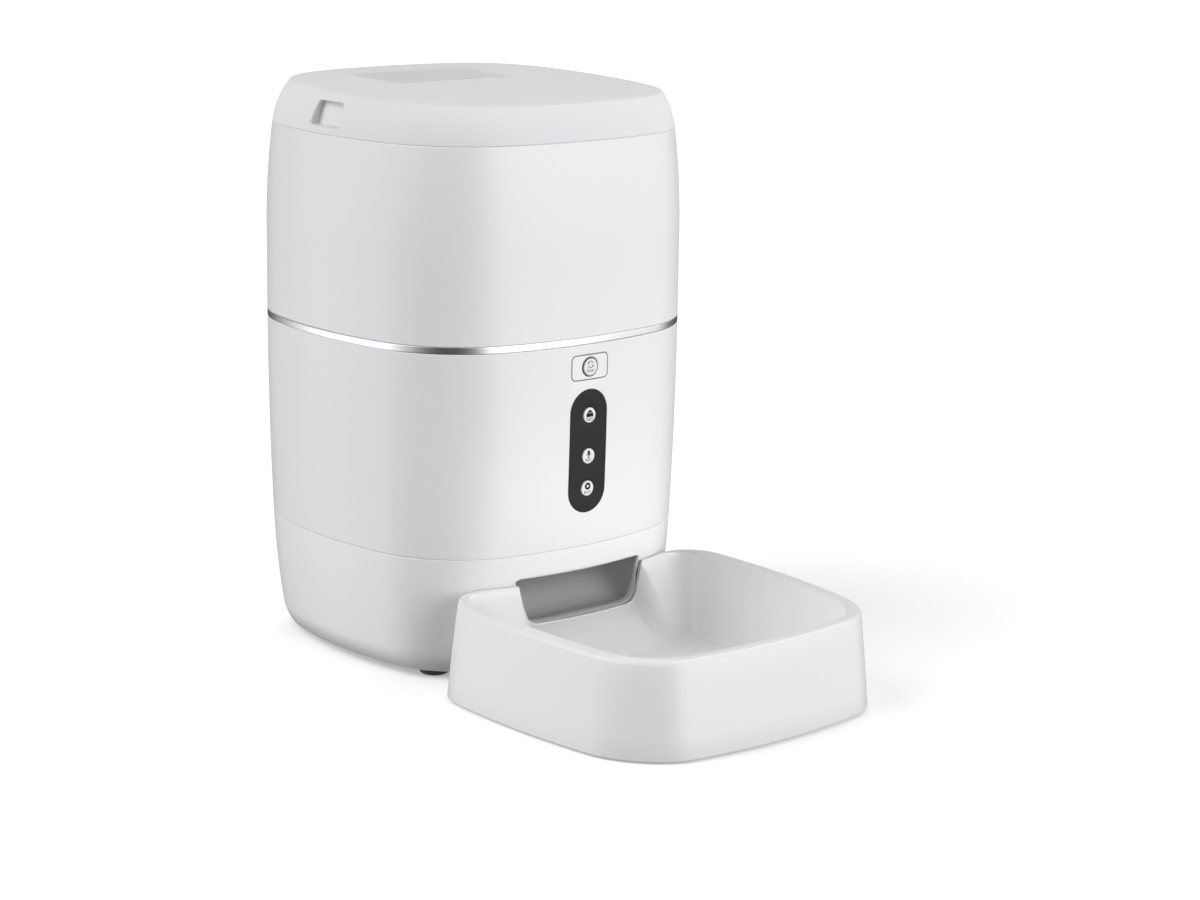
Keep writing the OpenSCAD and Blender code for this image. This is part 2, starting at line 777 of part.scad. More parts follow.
module wheel_gear() {
    web_r = wheel_pitch_r - 4;
    color(gear_cream) stand() translate([0, 0, gear_z]) rotate(90) difference() {
        linear_extrude(gear_w) gear_shape(wheel_teeth, shaft_r + seat);
        translate([0, 0, gear_w - web_step]) difference() {
            cylinder(r = web_r, h = web_step + 1);
            translate([0, 0, -1]) cylinder(r = shaft_r + 4, h = web_step + 3);
        }
    }
}

module motor_pinion() {
    color(bright_metal) stand() translate([0, motor_y, 0]) {
        translate([0, 0, gear_z]) rotate(-90 + 180 / pinion_teeth) linear_extrude(gear_w)
            gear_shape(pinion_teeth, motor_shaft_r - 0.2);
        translate([0, 0, plate_top - pinion_tail])
            cylinder(r = motor_shaft_r, h = gear_z + gear_w - plate_top + pinion_tail);
    }
}

module gear_motor() {
    gearbox_z = plate_top - plate_t - gearbox_h;
    color(steel) stand() translate([0, motor_y, 0]) difference() {
        union() {
            translate([0, 0, gearbox_z]) cylinder(r = gearbox_r, h = gearbox_h);
            translate([0, 0, plate_top - plate_t - 1]) cylinder(r = motor_boss_r, h = plate_t + 1);
            translate([0, 0, gearbox_z - motor_l]) cylinder(r = motor_r, h = motor_l + 1);
            translate([0, 0, gearbox_z - motor_l - motor_cap_h]) cylinder(r = motor_cap_r, h = motor_cap_h + 1);
            for (side = [-1, 1])
                translate([side * terminal_x - terminal[0] / 2, -terminal[1] / 2, 0])
                    translate([0, 0, gearbox_z - motor_l - terminal[2]]) cube(terminal + [0, 0, 1]);
        }
        translate([0, 0, plate_top - pinion_tail - 1])
            cylinder(r = motor_shaft_r + running, h = pinion_tail + 4);
    }
}

module motor_bracket() {
    color(steel) stand() difference() {
        union() {
            translate([0, motor_y + bracket_back, plate_top - plate_t]) linear_extrude(plate_t)
                rounded_rect(2 * (bracket_x + bracket_end), bracket_l, bracket_end);
            for (side = [-1, 1]) translate([side * bracket_x, bracket_post_y, plate_top - plate_t])
                cylinder(r = bracket_post_r, h = floor_z - plate_top + plate_t);
        }
        translate([0, motor_y, plate_top - plate_t - 1]) cylinder(r = motor_boss_r + seat, h = plate_t + 2);
        for (side = [-1, 1]) {
            translate([side * bracket_x, bracket_post_y, plate_top - plate_t - 1])
                cylinder(r = screw_r + seat, h = floor_z - plate_top + plate_t + 2);
            translate([side * motor_hole_x, motor_y, plate_top - plate_t - 1])
                cylinder(r = screw_r + seat, h = plate_t + 2);
        }
    }
}

module motor_screws() {
    color(steel) stand() for (side = [-1, 1])
        translate([side * bracket_x, bracket_post_y, plate_top - plate_t])
            screw(floor_z - plate_top + plate_t + 0.6 * chamber_t);
}

// Housing and control panel

// Places a child at the screw posts behind the control panel, drawn about y
module at_posts() {
    for (side = [-1, 1], z = [post_low, reset_z]) translate([side * post_x, 0, z]) children();
}

// Shape drawn in x and z about a level, carried through the housing's front wall
module through_front(z) {
    forward(front_y + front_cut, 2 * front_cut + wall) translate([0, z]) children();
}

module main_housing() {
    outer = housing_profile();
    section = concat([[seam_inset + seam_bevel, seam_z]], outer, [[seam_bevel, trim_z], [wall, trim_z]],
        [for (p = reversed(shifted(outer, wall))) if (p[1] > seam_z + 1 && p[1] < trim_z - 1) p],
        [[seam_inset + wall, seam_z]]);
    rib_low = floor_z - pillar_h;
    color(shell_white) stand() difference() {
        union() {
            swept(section);
            intersection() {
                plan_plate(wall + housing_inset(rib_low) - 1.6, rib_low, pillar_h);
                union() {
                    at_pillars() translate([0, 0, rib_low]) cylinder(r = pillar_r, h = pillar_h);
                    for (turn = [45:90:315]) rotate(turn)
                        translate([pillar_spread * sqrt(2), -pillar_rib_t / 2, rib_low])
                            cube([body_w / 4, pillar_rib_t, pillar_h]);
                }
            }
            for (sx = [-1, 1], sy = [-1, 1]) mirror([sx < 0 ? 1 : 0, 0, 0])
                translate([screw_x, sy * screw_y, boss_top]) {
                    cylinder(r = boss_r - 1, h = post_h);
                    translate([0, -post_rib_t / 2, seam_z - boss_top])
                        cube([body_w / 2 - seam_inset - wall - screw_x, post_rib_t,
                              post_h - seam_z + boss_top]);
                }
            for (side = [-1, 1], z = [post_low, reset_z]) translate([side * post_x, 0, z])
                forward(board_front, board_front - front_y - wall / 2 - housing_inset(z)) circle(post_r);
        }
        through_front(panel_z) stadium(panel_w + fit, panel_h + fit);
        through_front(reset_z) rounded_rect(reset_w + fit, reset_h + fit, plate_corner_r + fit / 2);
        at_pillars() translate([0, 0, floor_z - chamber_screw_l - 2])
            cylinder(r = screw_r + seat, h = chamber_screw_l + 3);
        for (sx = [-1, 1], sy = [-1, 1]) translate([sx * screw_x, sy * screw_y, boss_top - 1])
            cylinder(r = screw_r + seat, h = housing_screw_l);
        at_posts() forward(board_front + 1, panel_screw_l + 1) circle(screw_r + seat);
    }
}

// Band of the housing's front wall, from an outer to an inner inset
module front_band(outer, inner) {
    profile = housing_profile();
    front_arc(concat(shifted(profile, outer), reversed(shifted(profile, inner))));
}

module control_panel() {
    color(panel_black) stand() difference() {
        union() {
            intersection() {
                front_band(-panel_proud, wall + 1);
                through_front(panel_z) stadium(panel_w, panel_h);
            }
            intersection() {
                front_band(wall + fit, panel_back);
                through_front(panel_z) stadium(panel_w + 2 * flange_lip, panel_h + 2 * flange_lip);
            }
        }
        for (drop = [feed_drop, record_drop, play_drop])
            through_front(trim_z - drop) circle(button_d / 2 + fit);
        through_front(trim_z - mic_drop) circle(mic_r);
    }
}

// Push button facing the front: cap, retaining flange and stem
module push_button(d, drop, proud) {
    z = trim_z - drop;
    face = front_y + housing_inset(z) - proud;
    flange = front_y + housing_inset(z) + panel_back + 2 * fit;
    stem_end = board_front - switch_h - plunger_h - button_travel - fit;
    translate([0, 0, z]) {
        forward(flange + 0.1, flange + 0.1 - face) circle(d / 2);
        forward(flange + button_flange, button_flange) circle(d / 2 + button_flange);
        forward(stem_end, stem_end - flange) circle(stem_r);
    }
}

module feed_button() {
    color(shell_white) stand() push_button(button_d, feed_drop, panel_proud + button_proud);
}

module record_button() {
    color(shell_white) stand() push_button(button_d, record_drop, panel_proud + button_proud);
}

module play_button() {
    color(shell_white) stand() push_button(button_d, play_drop, panel_proud + button_proud);
}

module reset_plate() {
    color(shell_white) stand() difference() {
        union() {
            intersection() {
                front_band(0.05, wall + 1);
                through_front(reset_z) rounded_rect(reset_w, reset_h, plate_corner_r);
            }
            intersection() {
                front_band(wall + fit, panel_back);
                through_front(reset_z)
                    rounded_rect(reset_w + 2 * flange_lip, reset_h + flange_lip, plate_corner_r);
            }
        }
        through_front(reset_z) circle(reset_d / 2 + fit);
    }
}

module reset_button() {
    color(shell_white) stand() push_button(reset_d, reset_drop, button_proud);
}

module control_board() {
    low = panel_z - panel_h / 2;
    color(board_green) stand() difference() {
        forward(board_front + board_t, board_t) translate([-board_half_w, low + 1])
            square([2 * board_half_w, reset_z + 4 - low]);
        at_posts() forward(board_front + board_t + 1, board_t + 2) circle(screw_r + fit);
    }
}

module tact_switches() {
    color(panel_black) stand() for (drop = [feed_drop, record_drop, play_drop, reset_drop]) {
        forward(board_front, switch_h) translate([0, trim_z - drop]) square(switch_w, center = true);
        forward(board_front - switch_h + 0.1, plunger_h + 0.1) translate([0, trim_z - drop]) circle(plunger_r);
    }
}

module board_screws() {
    color(steel) stand() {
        at_posts() translate([0, board_front + board_t, 0]) rotate([90, 0, 0]) screw(panel_screw_l);
        at_standoffs() translate([0, 0, base_z + wall + standoff_h + board_t])
            mirror([0, 0, 1]) screw(board_screw_l);
    }
}

// Chute

// Solid of the chute, from the chamber's outlet down to the mouth, grown by the wall
module chute_solid(grow, reach) {
    top_half = outlet_out * sin(outlet_half) + 1.5 + grow;
    back = -outlet_in * cos(outlet_half) + grow + 1;
    front = -(chamber_r - 1.5) - grow;
    nozzle_y = front_y + seam_inset + nozzle_l;
    hull() {
        translate([-top_half, front, floor_z - 1]) cube([2 * top_half, back - front, 1]);
        forward(nozzle_y, 1) mouth_shape(grow - fit - chute_t);
    }
    forward(nozzle_y, reach) mouth_shape(grow - fit - chute_t);
}

module food_chute() {
    color(inner_white) stand() difference() {
        intersection() {
            chute_solid(chute_t, nozzle_l + wall);
            plan_plate(base_inset(mouth_sill_z) + fit, 0, floor_z - seat);
        }
        chute_solid(0, nozzle_l + 2 * wall);
        translate([-body_w / 2, -body_w, floor_z - seat]) cube(body_w);
    }
}

module outlet_sensors() {
    color(panel_black) stand() for (side = [-1, 1])
        translate([side * (chamber_r - sensor_side), -chamber_r + sensor_in, floor_z - sensor_size[2]]) {
            translate([-sensor_size[0] / 2, -sensor_size[1] / 2, 0]) cube(sensor_size);
            translate([0, 0, lens_z]) rotate([0, -90 * side, 0]) cylinder(r = lens_r, h = lens_l);
        }
}

// Base

// Places a child at each screw that joins the base to the housing
module at_screws() {
    for (sx = [-1, 1], sy = [-1, 1]) translate([sx * screw_x, sy * screw_y, 0]) children();
}

// Places a child at each corner screw of the main board
module at_standoffs() {
    for (sx = [-1, 1], sy = [-1, 1])
        translate([sx * main_board_hole[0], main_board_y + sy * main_board_hole[1], 0]) children();
}

module base_shell() {
    outer = base_profile();
    section = concat(outer, [[seam_inset + seam_bevel, seam_z], [seam_inset + wall, seam_z]],
        [for (p = reversed(shifted(outer, wall))) if (p[1] < seam_z - 1 && p[1] > base_z + wall) p],
        [[lip_inset, base_z + wall], [lip_inset, base_z]]);
    color(shell_white) stand() difference() {
        swept(section);
        forward(front_y + seam_inset + 12, 24) mouth_shape(0);
        translate([0, body_d / 2, jack_z]) rotate([90, 0, 0]) cylinder(r = jack_nose_r + fit, h = 20);
    }
}

module base_plate() {
    color(shell_white) stand() difference() {
        union() {
            plan_plate(lip_inset + seat, base_z, wall);
            intersection() {
                plan_plate(lip_inset + seat, base_z, bay_h + bay_roof);
                translate([-bay_w / 2 - bay_wall, bay_y - bay_wall, base_z])
                    cube([bay_w + 2 * bay_wall, bay_l + 2 * bay_wall, bay_h + bay_roof]);
            }
            at_screws() translate([0, 0, base_z]) cylinder(r = boss_r, h = boss_top - base_z);
            at_standoffs() translate([0, 0, base_z]) cylinder(r = standoff_r, h = wall + standoff_h);
        }
        translate([-bay_w / 2, bay_y, base_z - 1]) cube([bay_w, bay_l, bay_h + 1]);
        translate([-bay_w / 2 - cover_lap, bay_y - cover_lap, base_z - 1])
            cube([bay_w + 2 * cover_lap, bay_l + 2 * cover_lap, cover_t + 1.2]);
        at_screws() {
            translate([0, 0, base_z - 1]) cylinder(r = head_r + fit, h = boss_top - boss_web - base_z + 1);
            cylinder(r = screw_r + fit, h = boss_top + 1);
        }
        at_standoffs() translate([0, 0, base_z + wall]) cylinder(r = screw_r + seat, h = standoff_h + 1);
        for (row = [-2:2]) translate([speaker_pos[0], speaker_pos[1] + speaker_slot_step * row, base_z - 1])
            linear_extrude(wall + 2)
                rounded_rect(2 + 2 * sqrt(pow(speaker_slot_r, 2) - pow(speaker_slot_step * row, 2)), 1.8, 0.85);
    }
}

module main_board() {
    size = main_board_size;
    z = base_z + wall + standoff_h;
    color(board_green) stand() translate([0, main_board_y, z]) difference() {
        union() {
            translate([-size[0] / 2, -size[1] / 2, 0]) cube([size[0], size[1], board_t]);
            for (b = board_blocks) translate([b[0], b[1], board_t - 0.1]) cube([b[2], b[3], b[4]]);
            for (x = capacitor_x) translate([x, capacitor_y, board_t - 0.1])
                cylinder(r = capacitor_r, h = capacitor_h);
        }
        for (sx = [-1, 1], sy = [-1, 1]) translate([sx * main_board_hole[0], sy * main_board_hole[1], -1])
            cylinder(r = screw_r + fit, h = board_t + 2);
    }
}

module speaker() {
    color(panel_black) stand() translate([speaker_pos[0], speaker_pos[1], base_z + wall])
        rotate_extrude() polygon([[speaker_r - 3, 0], [speaker_r, 0], [speaker_r, speaker_rim],
            [speaker_r - 4, speaker_frame], [magnet_r, speaker_frame], [magnet_r, speaker_h], [0, speaker_h],
            [0, 3], [3, 3], [speaker_r - 3.5, 1]]);
}

module dc_jack() {
    inner_y = body_d / 2 - base_inset(jack_z - jack_half) - wall - fit;
    nose_y = body_d / 2 - base_inset(jack_z) - 0.8;
    back_y = bay_y + bay_l + bay_wall + seat;
    color(panel_black) stand() difference() {
        union() {
            translate([-jack_half, back_y, jack_z - jack_half])
                cube([2 * jack_half, inner_y - back_y, 2 * jack_half]);
            translate([0, nose_y, jack_z]) rotate([90, 0, 0])
                cylinder(r = jack_nose_r, h = nose_y - inner_y + 1);
        }
        translate([0, nose_y + 1, jack_z]) rotate([90, 0, 0]) difference() {
            cylinder(r = jack_bore_r, h = jack_depth);
            translate([0, 0, 1.5]) cylinder(r = jack_pin_r, h = jack_depth);
        }
    }
}

module battery_contacts() {
    cell = bay_w / 3;
    color(bright_metal) stand() for (i = [-1:1]) translate([i * cell, 0, base_z + bay_h / 2 + 1]) {
        for (y = [bay_y, bay_y + bay_l - contact[1]])
            translate([-contact[0] / 2, y, -contact[2] / 2]) cube(contact);
        translate([0, bay_y + contact[1] - 0.1, 0]) rotate([-90, 0, 0])
            cylinder(r1 = contact_dome_r, r2 = contact_dome_r - 2, h = contact_rise);
        translate([0, bay_y + bay_l - contact[1] + 0.1, 0]) rotate([90, 0, 0])
            cylinder(r = contact_stud_r, h = contact_rise);
    }
}

module battery_cover() {
    width = bay_w + 2 * (cover_lap - fit);
    length = bay_l + 2 * (cover_lap - fit);
    color(shell_white) stand() translate([0, bay_y + bay_l / 2, base_z]) difference() {
        union() {
            translate([-width / 2, -length / 2, 0]) cube([width, length, cover_t]);
            for (side = [-1, 1])
                translate([side * (bay_w / 2 - clip[0]) - clip[0] / 2, bay_l / 2 - slip - 0.4 - clip[1], 0])
                    cube(clip);
            translate([-grip_w / 2, -bay_l / 2 + slip + 0.4, 0]) cube([grip_w, clip[1], clip[2]]);
        }
        for (row = [0:4]) translate([-grip_w / 2, -length / 2 + 8 + grip_step * row, -1])
            cube([grip_w, 1.2, 1.6]);
    }
}

module housing_screws() {
    color(steel) stand() at_screws() translate([0, 0, boss_top - boss_web]) screw(housing_screw_l);
}

module rubber_feet() {
    color(rubber_grey) stand() for (sx = [-1, 1], sy = [-1, 1]) translate([sx * foot_x, sy * foot_y, 0])
        rotate_extrude() polygon([[0, 0], [foot_r - 0.8, 0], [foot_r, 0.8], [foot_r, foot_h], [0, foot_h]]);
}

// Bowl

// Points of a rounded box with a bulging front and sides and a hollow back, as one ring.
// The ring lies at z, and dips or climbs to back_z along its back edge.
function bowl_ring(inset, back, z, front_r, back_z) =
    let (w = bowl_w / 2 - inset, f = -bowl_reach + inset, rear_r = bowl_rear_r,
         side_from = f + front_r, side_to = back - rear_r,
         box = concat(
             [for (i = [1:5]) [(w - front_r) * (i / 3 - 1), f]],
             arc([w - front_r, side_from], front_r, -90, 0, 6),
             [for (i = [1:4]) [w, side_from + (side_to - side_from) * i / 5]],
             arc([w - rear_r, side_to], rear_r, 0, 90, 6),
             [for (i = [1:7]) [(w - rear_r) * (1 - i / 4), back]],
             arc([rear_r - w, side_to], rear_r, 90, 180, 6),
             [for (i = [4:-1:1]) [-w, side_from + (side_to - side_from) * i / 5]],
             arc([front_r - w, side_from], front_r, 180, 270, 6)))
    [for (p = box) let (t = (p[1] - f) / (back - f), rear = max(0, (p[1] - side_to) / rear_r))
        [p[0] * (1 - pow(p[1] - bowl_mid, 2) / (2 * bowl_bulge_r * w)),
         p[1] + pow(p[0], 2) / 2 * ((1 - t) / bowl_bulge_r + t / side_r),
         z + (back_z - z) * rear]];

module bowl() {
    rim_in = bowl_lean + rim_w;
    back_in = bowl_back - bowl_t;
    under = basin_floor - bowl_t;
    sill = mouth_sill_z - bowl_t;
    // Each row: inset, distance in front of the back wall's inner face, height, height at the back
    below = [[rim_in + 28, 32, under, under], [rim_in + 20, 22.5, under + 0.6, under + 0.6],
             [rim_in + 11, 12.8, under + 4.4, under + 4.4], [rim_in + 5.7, 5.8, under + 12, under + 12],
             [rim_in + 1.7, 3.4, bowl_h - 17, sill - 4], [rim_in - 2.6, 2.4, bowl_h - 7.5, sill - 2],
             [bowl_lean + bowl_t, 1.2, bowl_h - 7.5, sill - 2],
             [bowl_t + 1, 0.4, bowl_gap + 8, bowl_gap + 8], [bowl_t, 0, bowl_gap, bowl_gap]];
    outside = [[0, 0, bowl_gap], [bowl_lean * 0.4, 0, bowl_h / 2], [bowl_lean * 0.9, 0, bowl_h - 4],
               [bowl_lean + 1.2, 0.3, bowl_h - 1], [bowl_lean + 3.2, 0.9, bowl_h]];
    basin = [[rim_in - 2.6, -0.6, bowl_h - 0.3], [rim_in, 0, bowl_h - 2.6], [rim_in + 4, 3, bowl_h - 16],
             [rim_in + 8, 8, basin_floor + 12], [rim_in + 13, 15, basin_floor + 4],
             [rim_in + 21, 24, basin_floor + 0.6], [rim_in + 29, 33, basin_floor]];
    rings = concat(
        [for (p = below) bowl_ring(p[0], back_in - p[1], p[2], bowl_front_r - p[0] * 0.7, p[3])],
        [for (p = outside) bowl_ring(p[0], bowl_back - p[1], p[2], bowl_front_r - p[0] * 0.7, p[2])],
        [for (p = basin) bowl_ring(p[0], back_in - p[1], p[2], bowl_front_r - p[0] * 0.7, p[2])]);
    color(shell_white) stand() difference() {
        union() {
            skin(rings);
            at_pads() translate([0, 0, pad_h]) cylinder(r = pad_r + 1, h = under + 0.8 - pad_h);
        }
        forward(front_y + 30, 44 + bowl_t) mouth_shape(fit);
    }
}

// Places a child over each of the bowl's pads
module at_pads() {
    for (sx = [-1, 1], y = [-bowl_reach + pad_front, front_y - pad_behind])
        translate([sx * (bowl_w / 2 - pad_side), y, 0]) children();
}

module bowl_pads() {
    color(rubber_grey) stand() at_pads() cylinder(r = pad_r, h = pad_h);
}

lid();
lid_seal();
desiccant_cup();
desiccant_cap();
food_tank();
trim_ring();
hopper_funnel();
metering_chamber();
chamber_screws();
shaft_bush();
portion_wheel();
wiper_blades();
stirrer();
wheel_shaft();
wheel_gear();
motor_pinion();
gear_motor();
motor_bracket();
motor_screws();
main_housing();
control_panel();
feed_button();
record_button();
play_button();
reset_plate();
reset_button();
control_board();
tact_switches();
board_screws();
food_chute();
outlet_sensors();
base_shell();
base_plate();
main_board();
speaker();
dc_jack();
battery_contacts();
battery_cover();
housing_screws();
rubber_feet();
bowl();
bowl_pads();
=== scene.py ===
"""Looks of an automatic pet feeder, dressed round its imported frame.

Shapes are worked out in millimetres about the body's upright axis, with the front towards -Y,
and are moved into the frame's metres when a piece is made.
"""
import json
import logging
import math
from collections.abc import Callable, Sequence
from dataclasses import dataclass, field
from enum import Enum

import bmesh
import bpy
import numpy as np
from mathutils import Matrix, Vector


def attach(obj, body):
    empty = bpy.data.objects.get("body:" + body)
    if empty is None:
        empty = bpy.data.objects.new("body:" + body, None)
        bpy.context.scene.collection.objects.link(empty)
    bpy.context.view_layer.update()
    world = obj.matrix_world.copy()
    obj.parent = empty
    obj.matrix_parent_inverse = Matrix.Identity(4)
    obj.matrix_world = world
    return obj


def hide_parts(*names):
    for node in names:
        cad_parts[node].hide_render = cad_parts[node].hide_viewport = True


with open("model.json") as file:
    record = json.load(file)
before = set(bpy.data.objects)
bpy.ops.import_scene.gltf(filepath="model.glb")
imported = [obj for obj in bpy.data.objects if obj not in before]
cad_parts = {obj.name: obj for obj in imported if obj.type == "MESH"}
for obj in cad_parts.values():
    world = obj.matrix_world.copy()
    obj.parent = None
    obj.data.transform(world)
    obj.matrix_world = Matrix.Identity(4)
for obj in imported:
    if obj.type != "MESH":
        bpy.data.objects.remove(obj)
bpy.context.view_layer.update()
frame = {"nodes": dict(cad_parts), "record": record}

LOG = logging.getLogger("pet_feeder")
MM = 0.001
AXIS_Y = 78.5
QUARTER = math.pi / 2.0
FULL_TURN = 2.0 * math.pi
FRONT = 1.5 * math.pi
TOUCH = 1e-6
WELD = 2e-6
SLIVER = 1e-7
MIRROR = (-1.0, 1.0)

Array = np.ndarray
Colour = tuple[float, float, float]


class Body(Enum):
    """Bodies of the frame that pieces ride on."""

    FEEDER = "feeder"
    LID = "lid_group"
    BOWL = "bowl_group"
    FEED = "feed_button_group"
    RECORD = "record_button_group"
    PLAY = "play_button_group"
    RESET = "reset_button_group"


class Slot(Enum):
    """Material slots of the record."""

    SHELL = "shell"
    BOWL = "bowl_plastic"
    INNER = "inner_plastic"
    TINTED = "tinted_plastic"
    TRIM = "bright_trim"
    PANEL = "panel"
    BUTTON = "button"
    SILICONE = "silicone"
    RUBBER = "rubber"
    STEEL = "steel"
    BRONZE = "bronze"
    GEAR = "gear_plastic"
    BOARD = "circuit_board"


# Shader maths


class Signal:
    """A number in a shader: wraps an output socket, and arithmetic on it adds Math nodes."""

    def __init__(self, graph: "Graph", socket: bpy.types.NodeSocket) -> None:
        """Keep the socket and the graph it belongs to."""
        self.graph = graph
        self.socket = socket

    def __add__(self, other: "Signal | float") -> "Signal":
        """Sum of two values."""
        return self.graph.math("ADD", self, other)

    def __rsub__(self, other: float) -> "Signal":
        """A number less this value."""
        return self.graph.math("SUBTRACT", other, self)

    def __mul__(self, other: "Signal | float") -> "Signal":
        """Product of two values."""
        return self.graph.math("MULTIPLY", self, other)

    __radd__ = __add__
    __rmul__ = __mul__


class Graph:
    """Node tree of a material or of the world, emptied, with methods that add and link nodes."""

    def __init__(self, tree: bpy.types.NodeTree) -> None:
        """Empty the tree and keep it."""
        tree.nodes.clear()
        self.tree = tree

    def node(self, kind: str, settings: dict | None = None, inputs: dict | None = None) -> bpy.types.Node:
        """Add one node.

        Args:
            kind: the node's type name.
            settings: attributes that are set first, such as a Math node's operation.
            inputs: values, sockets or signals for its input sockets, by name or place.

        Returns:
            The new node.
        """
        made = self.tree.nodes.new(kind)
        for name, value in (settings or {}).items():
            setattr(made, name, value)
        for key, value in (inputs or {}).items():
            socket = made.inputs[key]
            if isinstance(value, Signal):
                value = value.socket
            if isinstance(value, bpy.types.NodeSocket):
                self.tree.links.new(value, socket)
            else:
                socket.default_value = value
        return made

    def math(self, operation: str, left: Signal | float, right: Signal | float) -> Signal:
        """Add a Math node for two values and return its result."""
        made = self.node("ShaderNodeMath", {"operation": operation}, {0: left, 1: right})
        return Signal(self, made.outputs[0])

    def place(self) -> bpy.types.NodeSocket:
        """Object coordinates of the shaded point, in metres."""
        return self.node("ShaderNodeTexCoord").outputs["Object"]

    def stretch(self, place: bpy.types.NodeSocket, by: Colour) -> bpy.types.NodeSocket:
        """Coordinates times a number along each axis."""
        return self.node("ShaderNodeMapping", {}, {"Vector": place, "Scale": by}).outputs[0]

    def noise(self, place: bpy.types.NodeSocket, scale: float, detail: float) -> Signal:
        """Smooth noise from 0 to 1, with scale cells for each metre and detail octaves of finer noise."""
        made = self.node("ShaderNodeTexNoise", {}, {"Vector": place, "Scale": scale, "Detail": detail})
        return Signal(self, made.outputs["Fac"])

    def blend(self, factor: Signal, low: Colour, high: Colour) -> bpy.types.NodeSocket:
        """Colour that goes from low at a factor of 0 to high at 1."""
        ends = {"Factor": factor, 6: (*low, 1.0), 7: (*high, 1.0)}
        return self.node("ShaderNodeMix", {"data_type": "RGBA"}, ends).outputs[2]

    def bump(self, height: Signal, depth_mm: float) -> bpy.types.NodeSocket:
        """Normal bent by a height from 0 to 1 times a depth."""
        made = self.node("ShaderNodeBump", {}, {"Height": height, "Distance": depth_mm * MM})
        return made.outputs["Normal"]

    def surface(self, inputs: dict) -> None:
        """Add the Principled shader with these inputs and link it to the output."""
        shader = self.node("ShaderNodeBsdfPrincipled", {}, inputs)
        self.node("ShaderNodeOutputMaterial", {}, {"Surface": shader.outputs[0]})


def scaled(colour: Colour, by: float) -> Colour:
    """Colour times a number, kept between 0 and 1."""
    return tuple(min(1.0, max(0.0, part * by)) for part in colour)


# Finishes


@dataclass(frozen=True)
class MouldedPlastic:
    """Injection-moulded plastic: faint flow clouds and the fine spark-eroded grain of the mould."""

    colour: Colour
    roughness: float
    grain_mm: float = 0.35
    grain_depth: float = 0.006
    cloud: float = 0.012
    specular: float = 0.5

    def dress(self, graph: Graph) -> None:
        """Fill a material's graph.

        Args:
            graph: the graph of the material.
        """
        place = graph.place()
        cloud = graph.noise(place, 14.0, 3.0)
        grain = graph.noise(place, 1.0 / (self.grain_mm * MM), 1.0)
        wave = graph.noise(place, 120.0, 2.0)
        dark, light = scaled(self.colour, 1.0 - self.cloud), scaled(self.colour, 1.0 + self.cloud)
        graph.surface({
            "Base Color": graph.blend(cloud, dark, light),
            "Roughness": self.roughness - 0.03 + 0.06 * cloud + 0.03 * grain,
            "Specular IOR Level": self.specular,
            "Normal": graph.bump(grain + 0.6 * wave, self.grain_depth),
        })


@dataclass(frozen=True)
class PlatedMetal:
    """Bright plating with a faint lengthwise polish."""

    colour: Colour
    roughness: float

    def dress(self, graph: Graph) -> None:
        """Fill a material's graph.

        Args:
            graph: the graph of the material.
        """
        streak = graph.noise(graph.stretch(graph.place(), (1.0, 1.0, 60.0)), 90.0, 2.0)
        graph.surface({
            "Base Color": graph.blend(streak, scaled(self.colour, 0.97), self.colour),
            "Metallic": 1.0,
            "Roughness": self.roughness + 0.06 * streak,
            "Normal": graph.bump(streak, 0.0015),
        })


@dataclass(frozen=True)
class SheetMetal:
    """Sheet metal and turned metal: cloudy grey or brown with light brushing."""

    colour: Colour
    roughness: float = 0.32

    def dress(self, graph: Graph) -> None:
        """Fill a material's graph.

        Args:
            graph: the graph of the material.
        """
        place = graph.place()
        spangle = graph.noise(place, 320.0, 2.0)
        brushed = graph.noise(graph.stretch(place, (4.0, 4.0, 160.0)), 60.0, 1.0)
        graph.surface({
            "Base Color": graph.blend(spangle, scaled(self.colour, 0.85), scaled(self.colour, 1.1)),
            "Metallic": 1.0,
            "Roughness": self.roughness - 0.06 + 0.16 * spangle,
            "Normal": graph.bump(brushed, 0.004),
        })


@dataclass(frozen=True)
class SoftRubber:
    """Rubber or silicone: matt, a little dusty, with a soft sheen."""

    colour: Colour
    roughness: float

    def dress(self, graph: Graph) -> None:
        """Fill a material's graph.

        Args:
            graph: the graph of the material.
        """
        place = graph.place()
        dust = graph.noise(place, 60.0, 4.0)
        graph.surface({
            "Base Color": graph.blend(dust, scaled(self.colour, 0.88), scaled(self.colour, 1.18)),
            "Roughness": self.roughness + 0.1 * dust,
            "Sheen Weight": 0.15,
            "Normal": graph.bump(graph.noise(place, 2400.0, 2.0), 0.02),
        })


@dataclass(frozen=True)
class SolderMask:
    """Circuit board: green mask with copper tracks showing through as lighter lines."""

    mask: Colour
    track: Colour

    def dress(self, graph: Graph) -> None:
        """Fill a material's graph.

        Args:
            graph: the graph of the material.
        """
        black, white = (0.0, 0.0, 0.0, 1.0), (1.0, 1.0, 1.0, 1.0)
        brick = graph.node("ShaderNodeTexBrick", {"offset": 0.5}, {
            "Vector": graph.place(), "Scale": 160.0, "Color1": black, "Color2": black, "Mortar": white,
            "Mortar Size": 0.04})
        track = Signal(graph, brick.outputs["Fac"])
        graph.surface({
            "Base Color": graph.blend(track, self.mask, self.track),
            "Roughness": 0.35 + 0.1 * track,
            "Normal": graph.bump(track, 0.02),
        })


